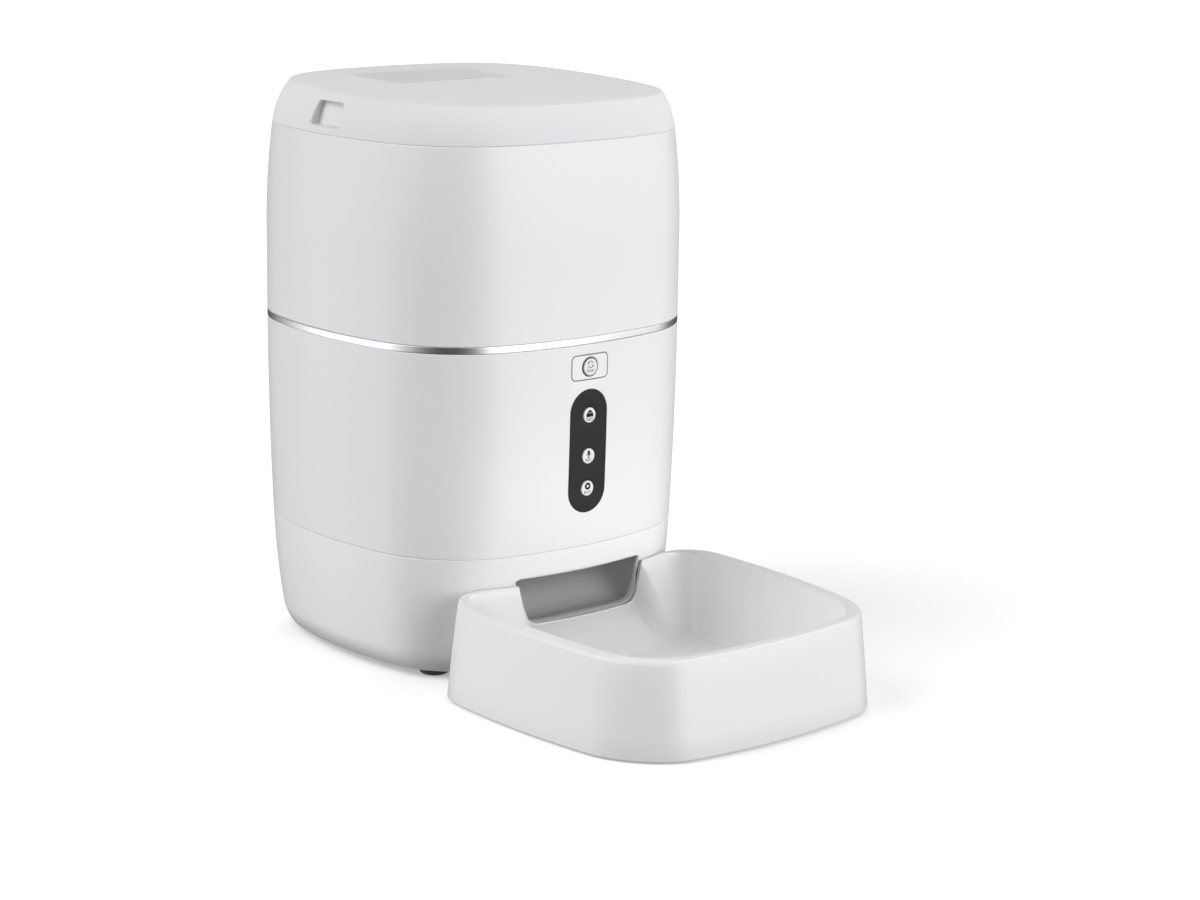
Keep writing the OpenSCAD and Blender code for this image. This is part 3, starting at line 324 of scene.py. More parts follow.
Finish = MouldedPlastic | PlatedMetal | SheetMetal | SoftRubber | SolderMask
FINISHES: dict[str, Finish] = {
    "shell_white": MouldedPlastic((0.80, 0.805, 0.815), 0.36),
    "base_white": MouldedPlastic((0.83, 0.835, 0.84), 0.36),
    "bowl_white": MouldedPlastic((0.80, 0.80, 0.81), 0.34),
    "lid_white": MouldedPlastic((0.775, 0.78, 0.785), 0.5, specular=0.06),
    "inner_white": MouldedPlastic((0.68, 0.68, 0.69), 0.5, cloud=0.02),
    "tinted": MouldedPlastic((0.36, 0.46, 0.53), 0.48, cloud=0.03),
    "plated": PlatedMetal((0.78, 0.79, 0.8), 0.31),
    "panel_black": MouldedPlastic((0.02, 0.02, 0.021), 0.5, grain_depth=0.01, cloud=0.06, specular=0.16),
    "cap_white": MouldedPlastic((0.76, 0.765, 0.77), 0.36),
    "plate_white": MouldedPlastic((0.81, 0.815, 0.82), 0.34),
    "print_black": MouldedPlastic((0.02, 0.02, 0.022), 0.55, specular=0.2),
    "print_grey": MouldedPlastic((0.16, 0.16, 0.165), 0.5, specular=0.3),
    "label_white": MouldedPlastic((0.72, 0.725, 0.73), 0.42),
    # Chute lining: the inner plastic darkened to grey, which paints the shade inside the chute's mouth
    "chute_painted_shade": MouldedPlastic((0.47, 0.47, 0.48), 0.55, cloud=0.03),
    "silicone": SoftRubber((0.52, 0.53, 0.55), 0.6),
    "rubber": SoftRubber((0.045, 0.045, 0.048), 0.75),
    "steel": SheetMetal((0.62, 0.63, 0.65)),
    "bronze": SheetMetal((0.56, 0.36, 0.15), 0.4),
    "acetal": MouldedPlastic((0.74, 0.69, 0.55), 0.42, cloud=0.02),
    "board": SolderMask((0.015, 0.13, 0.05), (0.05, 0.24, 0.1)),
}
# Finish of the frame's own nodes, in the order of the slots
SLOT_FINISHES: dict[Slot, str] = dict(zip(Slot, (
    "shell_white", "bowl_white", "inner_white", "tinted", "plated", "panel_black", "cap_white",
    "silicone", "rubber", "steel", "bronze", "acetal", "board")))


class Palette:
    """Materials of the part, each made once."""

    def __init__(self) -> None:
        """Start with no material made."""
        self.made: dict[str, bpy.types.Material] = {}

    def get(self, name: str) -> bpy.types.Material:
        """Material of a named finish.

        Args:
            name: a key of FINISHES.

        Returns:
            The material.
        """
        if name not in self.made:
            material = bpy.data.materials.new(name)
            material.use_nodes = True
            FINISHES[name].dress(Graph(material.node_tree))
            self.made[name] = material
        return self.made[name]


PALETTE = Palette()


# Meshes


@dataclass(frozen=True)
class PieceSpec:
    """Name, body, slot and finish of a new piece, and how its mesh is finished."""

    name: str
    body: Body
    slot: Slot
    finish: str
    replaces: tuple[str, ...] = ()
    wall: float = 0.0
    even_wall: bool = True
    sharp_deg: float = 34.0


@dataclass
class Draft:
    """Points and faces of one piece, gathered patch by patch in millimetres about the body's axis."""

    points: list[Array] = field(default_factory=list)
    faces: list[list[int]] = field(default_factory=list)
    count: int = 0

    def add(self, points: Array, faces: Sequence[Sequence[int]]) -> None:
        """Add points and the faces that join them.

        Args:
            points: n by 3 array.
            faces: lists of places in points, anticlockwise seen from outside.
        """
        self.points.append(np.asarray(points, float).reshape(-1, 3))
        self.faces.extend([[self.count + int(i) for i in face] for face in faces])
        self.count += len(self.points[-1])

    def loft(self, rings: Array, keep: Array | None = None, first: bool = False,
             last: bool = False) -> "Draft":
        """Join closed rings by quads, which face the way that a ring's run cross the rings' order points.

        Args:
            rings: rings by points by 3 array.
            keep: mask of the quads that stay, rings - 1 by points.
            first: closes the first ring with triangles to its middle.
            last: closes the last ring in the same way.

        Returns:
            This draft.
        """
        rows, columns = rings.shape[:2]
        left = np.arange(rows * columns).reshape(rows, columns)
        right = np.roll(left, -1, axis=1)
        quads = np.stack([left[:-1], right[:-1], right[1:], left[1:]], axis=-1)
        self.add(rings, quads.reshape(-1, 4) if keep is None else quads[keep])
        index = np.arange(columns)
        for shut, ring in ((last, rings[-1]), (first, rings[0][::-1])):
            if shut:
                self.add(np.vstack([ring, ring.mean(axis=0)]), joined(index, np.roll(index, -1), columns))
        return self

    def build(self, spec: PieceSpec) -> None:
        """Make the piece: weld its patches, shade it, give it a wall and a finish, and let it ride.

        Args:
            spec: the piece's name, body, slot and finish.
        """
        mesh = bpy.data.meshes.new(spec.name)
        points = (np.vstack(self.points) + (0.0, AXIS_Y, 0.0)) * MM
        mesh.from_pydata(points.tolist(), [], self.faces)
        work = bmesh.new()
        work.from_mesh(mesh)
        bmesh.ops.remove_doubles(work, verts=work.verts, dist=WELD)
        bmesh.ops.dissolve_degenerate(work, edges=work.edges, dist=SLIVER)
        work.to_mesh(mesh)
        work.free()
        mesh.polygons.foreach_set("use_smooth", np.ones(len(mesh.polygons), bool))
        mesh.set_sharp_from_angle(angle=math.radians(spec.sharp_deg))
        mesh.materials.append(PALETTE.get(spec.finish))
        piece = bpy.data.objects.new(spec.name, mesh)
        bpy.context.scene.collection.objects.link(piece)
        if spec.wall:
            solid = piece.modifiers.new("wall", "SOLIDIFY")
            solid.thickness = spec.wall * MM
            solid.offset = -1.0
            solid.use_even_offset = spec.even_wall
        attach(piece, spec.body.value)
        if spec.replaces:
            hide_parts(*spec.replaces)
        LOG.info("%s: %d faces on %s", spec.name, len(mesh.polygons), spec.body.value)


def joined(*parts: Array | float) -> Array:
    """Coordinates side by side in a last axis, each spread to the shape that they share."""
    return np.stack(np.broadcast_arrays(*parts), axis=-1)


def polar(radius: Array | float, turn: Array) -> Array:
    """Flat points at a radius and an angle: radius times cosine and sine."""
    return joined(radius * np.cos(turn), radius * np.sin(turn))


def heading(rays: Array) -> Array:
    """Angles of flat rays, from the first axis towards the second."""
    return np.arctan2(rays[..., 1], rays[..., 0])


def unit(rays: Array) -> Array:
    """Rays brought to a length of 1."""
    return rays / np.linalg.norm(rays, axis=-1, keepdims=True)


def circle(count: int) -> Array:
    """Angles that go evenly round a full turn."""
    return np.linspace(0.0, FULL_TURN, count, endpoint=False)


def inside(values: Array, low: float, high: float) -> Array:
    """Mask of the values from low up to just before high."""
    return (values > low - TOUCH) & (values < high - TOUCH)


def stepped(knots: Sequence[float], counts: Sequence[int]) -> Array:
    """Knots with even steps between them, a count of steps for each span."""
    spans = [np.linspace(a, b, n, endpoint=False) for a, b, n in zip(knots, knots[1:], counts)]
    return np.concatenate([*spans, knots[-1:]])


def between(outer: Array, inner: Array, steps: int) -> Array:
    """Straight blend of two rings in steps, as rows from the outer to the inner one."""
    share = np.linspace(0.0, 1.0, steps + 1)[:, None, None]
    return outer * (1.0 - share) + inner * share


def divided(ring: Array, count: int) -> Array:
    """Flat closed ring with each of its sides cut into count even parts."""
    share = np.linspace(0.0, 1.0, count, endpoint=False)[None, :, None]
    return (ring[:, None] * (1.0 - share) + np.roll(ring, -1, axis=0)[:, None] * share).reshape(-1, 2)


def at_angles(ring: Array, angle: Array, wanted: Array) -> Array:
    """Points of a flat closed ring at other angles, interpolated between its own points' angles.

    Args:
        ring: n by 2 array.
        angle: the angle of each of its points.
        wanted: angles at which points are wanted.

    Returns:
        A point for each wanted angle.
    """
    order = np.argsort(angle)
    grown = np.concatenate([angle[order] + turn for turn in (-FULL_TURN, 0.0, FULL_TURN)])
    return joined(*(np.interp(wanted, grown, np.tile(column, 3)) for column in ring[order].T))


def gap_edge(columns: Array, rows: Array) -> Array:
    """Edge of a gap in a grid, anticlockwise from its first corner.

    Args:
        columns: values of the gap's columns.
        rows: values of its rows.

    Returns:
        n by 2 array of a column's and a row's value.
    """
    sides = (joined(columns, rows[0]), joined(columns[-1], rows), joined(columns[::-1], rows[-1]),
             joined(columns[0], rows[::-1]))
    return np.vstack([side[:-1] for side in sides])


def rounded_ring(half_w: float, half_h: float, radius: float, steps: int, run: int = 0) -> Array:
    """Outline of a rounded rectangle, anticlockwise from its lower right corner.

    Each corner is a quarter circle of steps + 1 points about the corner's centre, and each straight
    side between two corners has run points, evenly spaced.

    Args:
        half_w: half of the width.
        half_h: half of the height.
        radius: corner radius.
        steps: steps in each corner.
        run: points along each straight side.

    Returns:
        n by 2 array.
    """
    centre = np.array([[1, -1], [1, 1], [-1, 1], [-1, -1]]) * (half_w - radius, half_h - radius)
    turn = np.linspace(0.0, QUARTER, steps + 1) + np.arange(-1, 3)[:, None] * QUARTER
    arcs = centre[:, None] + polar(radius, turn)
    share = (np.arange(run) + 1.0)[None, :, None] / (run + 1.0)
    sides = arcs[:, -1:] * (1.0 - share) + np.roll(arcs[:, :1], -1, axis=0) * share
    return np.concatenate([arcs, sides], axis=1).reshape(-1, 2)


def smooth_rows(rows: Array, steps: int) -> Array:
    """Catmull-Rom curve through rows of numbers, with steps between each two.

    Args:
        rows: n by m array of knots.
        steps: points for each span.

    Returns:
        (n - 1) * steps + 1 rows.
    """
    knots = np.vstack([2.0 * rows[0] - rows[1], rows, 2.0 * rows[-1] - rows[-2]])
    before, start, end, after = knots[:-3, None], knots[1:-2, None], knots[2:-1, None], knots[3:, None]
    t = (np.arange(steps) / steps)[None, :, None]
    cubic = 3.0 * (start - end) + after - before
    square = 2.0 * before - 5.0 * start + 4.0 * end - after
    curve = start + 0.5 * t * (end - before + t * (square + t * cubic))
    return np.vstack([curve.reshape(-1, rows.shape[1]), rows[-1:]])


# Body


@dataclass(frozen=True)
class Outline:
    """Plan of the body: four bulging side arcs tangent to four corner arcs."""

    width: float = 210.0
    depth: float = 206.6
    side_r: float = 240.0
    corner_r: float = 63.8
    arc_steps: int = 28
    bend_steps: int = 26
    start: float = 0.75 * math.pi
    clear: float = 0.004

    @property
    def front_centre(self) -> float:
        """How far the front arc's centre lies behind the axis."""
        return self.side_r - self.depth / 2.0

    @property
    def side_centre(self) -> float:
        """How far a side arc's centre lies beyond the axis."""
        return self.side_r - self.width / 2.0

    @property
    def corner(self) -> tuple[float, float]:
        """Centre of the corner arc in the quarter of +X and +Y, tangent to both side arcs.

        Returns:
            x and y.
        """
        gap = math.hypot(self.side_centre, self.front_centre)
        out = math.sqrt((self.side_r - self.corner_r) ** 2 - (gap / 2.0) ** 2)
        return (-self.side_centre / 2.0 + out * self.front_centre / gap,
                -self.front_centre / 2.0 + out * self.side_centre / gap)

    @property
    def front_half(self) -> float:
        """Half of the angle of the front arc."""
        x, y = self.corner
        return math.atan2(x, y + self.front_centre)

    @property
    def side_half(self) -> float:
        """Half of the angle of a side arc."""
        x, y = self.corner
        return math.atan2(y, x + self.side_centre)

    def at(self, turn: Array, inset: Array) -> tuple[Array, Array]:
        """Points of the outline drawn in by an inset.

        The outward normal at a point has the angle turn. Folded into one quarter, the point is
        centre + (radius - inset) * normal, with the side's, the corner's or the front's centre.

        Args:
            turn: angles of the outward normal, from +X anticlockwise.
            inset: how far the outline is drawn in, of a shape that fits turn's.

        Returns:
            x and y.
        """
        cos, sin = np.cos(turn), np.sin(turn)
        fold = np.arctan2(np.abs(sin), np.abs(cos))
        on_side, on_front = fold <= self.side_half, fold >= QUARTER - self.front_half
        corner_x, corner_y = self.corner
        x0 = np.where(on_side, -self.side_centre, np.where(on_front, 0.0, corner_x))
        y0 = np.where(on_side, 0.0, np.where(on_front, -self.front_centre, corner_y))
        radius = np.where(on_side | on_front, self.side_r, self.corner_r) - inset
        return np.sign(cos) * (x0 + radius * np.abs(cos)), np.sign(sin) * (y0 + radius * np.abs(sin))

    def turns(self, windows: Sequence[Array] = ()) -> Array:
        """Column angles all round, with the columns of windows in place of those between their ends.

        Args:
            windows: sorted angles of each window's columns.

        Returns:
            Sorted angles from a start at the rear left corner.
        """
        halves, parts = (self.side_half, self.front_half), []
        for k in range(1, 5):
            own, after, middle = halves[k % 2], halves[(k + 1) % 2], k * QUARTER
            knots = [middle - own, middle + own, middle + QUARTER - after]
            parts.append(stepped(knots, [self.arc_steps, self.bend_steps])[:-1])
        angles = np.mod(np.concatenate(parts) - self.start, FULL_TURN) + self.start
        for window in windows:
            angles = angles[(angles < window[0] - self.clear) | (angles > window[-1] + self.clear)]
        return np.sort(np.concatenate([angles, *windows]))


OUTLINE = Outline()


def around(turns: Array, inset: Array, z: Array) -> Array:
    """Points of the body's outline at an inset and a height."""
    return joined(*OUTLINE.at(turns, inset), z)


@dataclass(frozen=True)
class Levels:
    """Heights of the body's seams and radii of its side profile."""

    base: float = 4.0
    edge_top: float = 16.0
    seam: float = 69.5
    trim: float = 181.8
    tank: float = 185.6
    flare: float = 232.0
    lid: float = 290.4
    top: float = 312.1
    belly_r: float = 2620.0
    base_r: float = 500.0
    edge_r: float = 24.0
    tank_r: float = 460.0
    bevel: float = 0.5
    hold: float = 0.3
    wall: float = 2.5
    lip: float = 3.4

    @property
    def lid_slope(self) -> float:
        """Slope of the profile at the lid's seam."""
        return math.asin((self.lid - self.flare) / self.tank_r)

    @property
    def lid_inset(self) -> float:
        """Inset of the profile at the lid's seam."""
        return self.tank_r * (1.0 - math.cos(self.lid_slope))

    @property
    def seam_slope(self) -> float:
        """Slope of the profile at the base's seam."""
        return math.asin((self.trim - self.seam) / self.belly_r)

    @property
    def seam_inset(self) -> float:
        """Inset of the profile at the base's seam."""
        return float(self.housing_inset(self.seam))

    def housing_inset(self, z: Array) -> Array:
        """Inset of the housing at a height: a circle of radius belly_r tangent at the trim."""
        return self.belly_r - np.sqrt(self.belly_r ** 2 - (self.trim - z) ** 2)

    def base_inset(self, z: Array) -> Array:
        """Inset of the base above its rolled edge: a circle of radius base_r tangent at the seam."""
        down = self.base_r * math.sin(self.seam_slope) + self.seam - z
        return (self.seam_inset + self.base_r * math.cos(self.seam_slope)
                - np.sqrt(self.base_r ** 2 - down ** 2))

    def tank_inset(self, z: Array) -> Array:
        """Inset of the tank: upright to the flare, then a circle of radius tank_r."""
        return self.tank_r - np.sqrt(self.tank_r ** 2 - np.maximum(z - self.flare, 0.0) ** 2)

    def held(self, heights: Array) -> Array:
        """Heights with one more just inside each end, which keeps a bevel's shading off the wall."""
        return np.insert(heights, [1, len(heights) - 1], [heights[0] + self.hold, heights[-1] - self.hold])

    def bevelled(self, inset: float, z: float, upward: float) -> Array:
        """Quarter-round at an edge, from its lower row to its upper one.

        Args:
            inset: inset of the wall at the edge.
            z: height of the edge.
            upward: 1 where the wall rises from the edge, -1 where it ends there.

        Returns:
            4 by 2 array of inset and height.
        """
        turn = np.linspace(0.0, QUARTER, 4)
        rows = joined(inset + self.bevel * (1.0 - np.sin(turn)),
                      z + upward * self.bevel * (1.0 - np.cos(turn)))
        return rows if upward > 0.0 else rows[::-1]

    def base_rows(self, heights: Array) -> Array:
        """Inset and height of the base's rows, from its lip round the rolled edge and up to the seam.

        Args:
            heights: levels of the rows above the rolled edge.

        Returns:
            n by 2 array.
        """
        slope = self.seam_slope + math.asin((self.seam - self.edge_top) / self.base_r)
        centre_z = self.edge_top + self.edge_r * math.sin(slope)
        centre = (self.base_inset(self.edge_top) + self.edge_r * math.cos(slope), centre_z)
        turn = np.linspace(math.asin((centre_z - self.base) / self.edge_r), slope, 12)
        roll = centre - polar(self.edge_r, turn)
        under = np.array([[roll[0, 0] + self.lip, self.base], [roll[0, 0] + self.bevel, self.base]])
        return np.vstack([under, roll, joined(self.base_inset(heights), heights),
                          self.bevelled(self.base_inset(self.seam), self.seam, -1.0)])


LEVELS = Levels()


def front_turn(x: Array, inset: Array) -> Array:
    """Angle of the column of the front arc that passes through x at an inset."""
    return FRONT + np.arcsin(x / (OUTLINE.side_r - inset))


def front_point(flat: Array, proud: float) -> Array:
    """Points over the housing's front at x and z, standing proud of it along the arc's radius.

    y = centre - sqrt(r^2 - x^2), with r the front arc's radius less the housing's inset plus proud.

    Args:
        flat: x and z of the points.
        proud: how far they stand out of the housing.

    Returns:
        Points in x, y and z.
    """
    x, z = flat[..., 0], flat[..., 1]
    r = OUTLINE.side_r - LEVELS.housing_inset(z) + proud
    return joined(x, OUTLINE.front_centre - np.sqrt(r ** 2 - x ** 2), z)


@dataclass(frozen=True)
class Shells:
    """Tank, trim and housing: bands of the body's outline between its seams."""

    window_half: float = 8.0
    panel_window: tuple[float, float] = (95.0, 150.0)
    reset_window: tuple[float, float] = (163.4, 175.2)
    spigot_h: float = 3.8
    spigot_t: float = 2.2
    ledge_t: float = 2.0
    inner_low: float = 4.0
    fit: float = 0.3
    trim_gap: float = 0.06
    trim_ease: float = 0.3
    trim_hold: float = 0.12

    def build(self) -> None:
        """Make the three pieces."""
        self.carry(self.tank_section(), PieceSpec(
            "tank_shell", Body.FEEDER, Slot.SHELL, "shell_white", ("food_tank",)))
        self.carry(self.trim_section(), PieceSpec(
            "trim_band", Body.FEEDER, Slot.TRIM, "plated", ("trim_ring",)))
        self.housing()

    def carry(self, section: Array, spec: PieceSpec) -> None:
        """Carry a closed section of inset and height round the outline."""
        rows = np.vstack([section, section[:1]])
        Draft().loft(around(OUTLINE.turns(), rows[:, :1], rows[:, 1:])).build(spec)

    def tank_section(self) -> Array:
        """Section of the food tank: wall with bevelled edges, ledge inside its foot and spigot below.

        Returns:
            n by 2 array of inset and height.
        """
        low, high, wall = LEVELS.tank, LEVELS.lid, LEVELS.wall
        heights = LEVELS.held(stepped([low + LEVELS.bevel, LEVELS.flare, high - LEVELS.bevel], [7, 13]))
        outside = joined(LEVELS.tank_inset(heights), heights)
        back = (outside + (wall, 0.0))[::-1]
        ledge_in, foot = wall + self.fit + self.spigot_t, LEVELS.trim - self.spigot_h
        return np.vstack([
            LEVELS.bevelled(0.0, low, 1.0)[:-1], outside, LEVELS.bevelled(LEVELS.lid_inset, high, -1.0)[1:],
            [[LEVELS.lid_inset + wall, high]], back[back[:, 1] > low + self.inner_low],
            [[wall, low + self.ledge_t], [ledge_in, low + self.ledge_t], [ledge_in, foot],
             [wall + self.fit, foot], [wall + self.fit, low]]])

    def trim_section(self) -> Array:
        """Section of the bright ring: a flat band with eased edges, held flat by a row beside each.

        Returns:
            n by 2 array of inset and height.
        """
        low, high, gap, ease, hold = LEVELS.trim, LEVELS.tank, self.trim_gap, self.trim_ease, self.trim_hold
        rise = np.array([[ease, gap], [0.08, 0.15], [0.0, ease], [0.0, ease + hold]])
        return np.vstack([rise + (0.0, low), (rise * (1.0, -1.0) + (0.0, high))[::-1],
                          [[LEVELS.wall, high - gap], [LEVELS.wall, low + gap]]])

    def housing(self) -> None:
        """Housing: an outer wall, open behind the panel and the reset plate, given a wall's thickness."""
        columns = front_turn(np.linspace(-self.window_half, self.window_half, 5), 0.0)
        turns = OUTLINE.turns([columns])
        heights = LEVELS.held(stepped(
            [LEVELS.seam + LEVELS.bevel, *self.panel_window, *self.reset_window, LEVELS.trim - LEVELS.bevel],
            [5, 8, 3, 3, 3]))
        rows = np.vstack([LEVELS.bevelled(LEVELS.seam_inset, LEVELS.seam, 1.0)[:-1],
                          joined(LEVELS.housing_inset(heights), heights),
                          LEVELS.bevelled(0.0, LEVELS.trim, -1.0)[1:]])
        middle = (rows[1:, 1] + rows[:-1, 1]) / 2.0
        open_rows = inside(middle, *self.panel_window) | inside(middle, *self.reset_window)
        keep = ~(open_rows[:, None] & inside(turns, columns[0], columns[-1]))
        Draft().loft(around(turns, rows[:, :1], rows[:, 1:]), keep).build(PieceSpec(
            "housing_shell", Body.FEEDER, Slot.SHELL, "shell_white", ("main_housing",), wall=LEVELS.wall))


@dataclass(frozen=True)
class Mouth:
    """Trapezoid of the food mouth in x and z, with lower corners that are tangent arcs."""

    top_half: float = 44.5
    sill_half: float = 38.0
    sill: float = 31.0
    top: float = 56.0
    corner: float = 8.0

    @property
    def lean(self) -> float:
        """Angle of the sides from the upright."""
        return math.atan((self.top_half - self.sill_half) / (self.top - self.sill))

    @property
    def flat_half(self) -> float:
        """Half of the sill's straight part, between the corner arcs."""
        return self.sill_half - self.corner * math.tan((QUARTER - self.lean) / 2.0)

    @property
    def middle(self) -> float:
        """Height halfway up."""
        return (self.sill + self.top) / 2.0

    def grown(self, by: float) -> "Mouth":
        """The same mouth moved out by a distance on all sides."""
        return Mouth(self.top_half + by, self.sill_half + by, self.sill - by, self.top + by, self.corner + by)

    def outline(self, count: int) -> Array:
        """Outline, anticlockwise from the sill's right end, evenly spaced but for the two upper corners.

        Args:
            count: number of points wanted.

        Returns:
            count by 2 array of x and z.
        """
        arc = polar(self.corner, np.linspace(-QUARTER, -self.lean, 12))
        right = np.vstack([arc + (self.flat_half, self.sill + self.corner), [[self.top_half, self.top]]])
        ring = np.vstack([right, right[::-1] * MIRROR, right[:1]])
        length = np.concatenate([[0.0], np.cumsum(np.hypot(*np.diff(ring, axis=0).T))])
        at = np.linspace(0.0, length[-1], count, endpoint=False)
        corners = length[[len(right) - 1, len(right)]]
        at[np.abs(at[:, None] - corners).argmin(axis=0)] = corners
        return joined(*(np.interp(at, length, column) for column in ring.T))

    def edge_z(self, x: Array) -> Array:
        """Height of the edge at x: flat sill, corner arcs, then the leaning sides carried on upwards.

        Args:
            x: places across the mouth.

        Returns:
            One height for each place.
        """
        r, past, run = self.corner, np.abs(x) - self.flat_half, self.corner * math.cos(self.lean)
        on_arc = self.sill + r - np.sqrt(r ** 2 - np.clip(past, 0.0, run) ** 2)
        on_side = self.sill + r - r * math.sin(self.lean) + (past - run) / math.tan(self.lean)
        return np.where(past < run, on_arc, on_side)


MOUTH = Mouth()


@dataclass(frozen=True)
class BaseWall:
    """Base of the body: rolled lower edge, the chute's mouth in front and the socket's hole behind."""

    gap_half: float = 48.8
    gap_low: float = 24.0
    gap_high: float = 62.0
    columns: int = 25
    levels: int = 19
    socket_z: float = 28.0
    socket_r: float = 4.8
    socket_half: float = 9.0
    socket_low: float = 21.0
    socket_high: float = 36.0
    socket_columns: int = 9
    rings: int = 4
    scale: tuple[float, float] = (OUTLINE.side_r, 1.0)

    def build(self) -> None:
        """Make the base: a grid with two gaps, rings that fill them up to mouth and socket, and a wall."""
        half = math.asin(self.gap_half / OUTLINE.side_r)
        columns = FRONT + np.linspace(-half, half, self.columns)
        spread = np.linspace(-1.0, 1.0, self.socket_columns) * self.socket_half / OUTLINE.side_r
        behind = FRONT + math.pi + spread
        knots = [LEVELS.edge_top, self.gap_low, self.gap_high, LEVELS.seam - LEVELS.bevel]
        heights = LEVELS.held(stepped(knots, [3, self.levels, 3])[1:])
        rows = LEVELS.base_rows(heights)
        turns = OUTLINE.turns([columns, behind])
        middle = (rows[1:, 1] + rows[:-1, 1]) / 2.0
        keep = np.ones((len(middle), len(turns)), bool)
        draft = Draft()
        for window, low, high, hole in ((columns, self.gap_low, self.gap_high, self.mouth),
                                        (behind, self.socket_low, self.socket_high, self.socket)):
            keep &= ~(inside(middle, low, high)[:, None] & inside(turns, window[0], window[-1]))
            edge = gap_edge(window, heights[inside(heights, low, high + 2.0 * TOUCH)])
            rings = between(edge, hole(edge), self.rings)
            draft.loft(around(rings[..., 0], LEVELS.base_inset(rings[..., 1]), rings[..., 1]))
        draft.loft(around(turns, rows[:, :1], rows[:, 1:]), keep)
        draft.build(PieceSpec(
            "base_wall", Body.FEEDER, Slot.SHELL, "base_white", ("base_shell",), wall=LEVELS.wall))

    def mouth(self, edge: Array) -> Array:
        """Points of the mouth on the rays from its middle to a gap's edge.

        Args:
            edge: angle and height of the edge's points.

        Returns:
            Angle and height of the mouth's points.
        """
        flat = MOUTH.outline(len(edge))
        ring = joined(front_turn(flat[:, 0], LEVELS.base_inset(flat[:, 1])), flat[:, 1])
        angle, wanted = (heading((points - (FRONT, MOUTH.middle)) * self.scale) for points in (ring, edge))
        return at_angles(ring, angle, wanted)

    def socket(self, edge: Array) -> Array:
        """Angle and height of the socket's round hole on the rays from its middle to a gap's edge."""
        middle = (FRONT + math.pi, self.socket_z)
        return middle + self.socket_r * unit((edge - middle) * self.scale) / self.scale


@dataclass(frozen=True)
class Chute:
    """Moulded chute: a lining that runs in from the mouth and bends up to the metering chamber's outlet."""

    wall: float = 1.8
    fit: float = 0.45
    lip_gap: float = 0.3
    lip_low: float = 40.0
    lip_high: float = 52.0
    setback: float = 0.8
    throat: float = 6.0
    nozzle: float = 9.0
    bend_in: Colour = (0.0, 24.0, 10.0)
    bend_up: Colour = (0.0, 0.0, 26.0)
    top_half: float = 30.1
    top_front: float = -55.5
    top_back: float = -20.2
    top_z: float = 113.6
    count: int = 72

    def build(self) -> None:
        """Make the lining: rings from a lip at the bowl's back through a straight nozzle and up a bent duct.

        The lip's front follows the bowl's back below and draws back behind the base wall's face above.
        A ring of the duct is the cubic curve's point for each column, from the nozzle's end with a tangent
        back and a little up to the outlet's rectangle with a tangent straight up.
        """
        edge = MOUTH.outline(self.count)
        ray = unit(edge - (0.0, MOUTH.middle))
        x, z = edge.T
        front = OUTLINE.front_centre - np.sqrt((OUTLINE.side_r - LEVELS.base_inset(z)) ** 2 - x ** 2)
        lip = LEVELS.seam_inset - OUTLINE.depth / 2.0 + self.lip_gap + x ** 2 / (2.0 * OUTLINE.side_r)
        low = np.clip((self.lip_high - z) / (self.lip_high - self.lip_low), 0.0, 1.0)
        first = low * lip + (1.0 - low) * (front + self.setback)
        depths = ((1.0, first), (1.0, front + LEVELS.wall), (1.5, front + self.throat),
                  (2.0, front + self.nozzle))
        *rows, start = (np.insert(edge - ray * self.fit * share, 1, y, axis=1) for share, y in depths)
        end = self.outlet(ray)
        t = np.linspace(0.0, 1.0, 14)[:, None, None]
        duct = ((1.0 - t) ** 3 * start + 3.0 * t * (1.0 - t) ** 2 * (start + self.bend_in)
                + 3.0 * t ** 2 * (1.0 - t) * (end - self.bend_up) + t ** 3 * end)
        # The lining's darker finish paints the shade that falls inside the chute
        Draft().loft(np.concatenate([rows, duct])).build(PieceSpec(
            "chute_lining", Body.FEEDER, Slot.INNER, "chute_painted_shade", ("food_chute",), wall=self.wall,
            even_wall=False, sharp_deg=50.0))

    def outlet(self, ray: Array) -> Array:
        """Points of the outlet's rectangle where rays from its middle meet it; height becomes depth.

        Args:
            ray: unit rays in the mouth's x and z.

        Returns:
            n by 3 array.
        """
        half = (self.top_half, (self.top_back - self.top_front) / 2.0)
        flat = ray / np.max(np.abs(ray) / half, axis=1, keepdims=True)
        return joined(flat[:, 0], (self.top_back + self.top_front) / 2.0 - flat[:, 1], self.top_z)


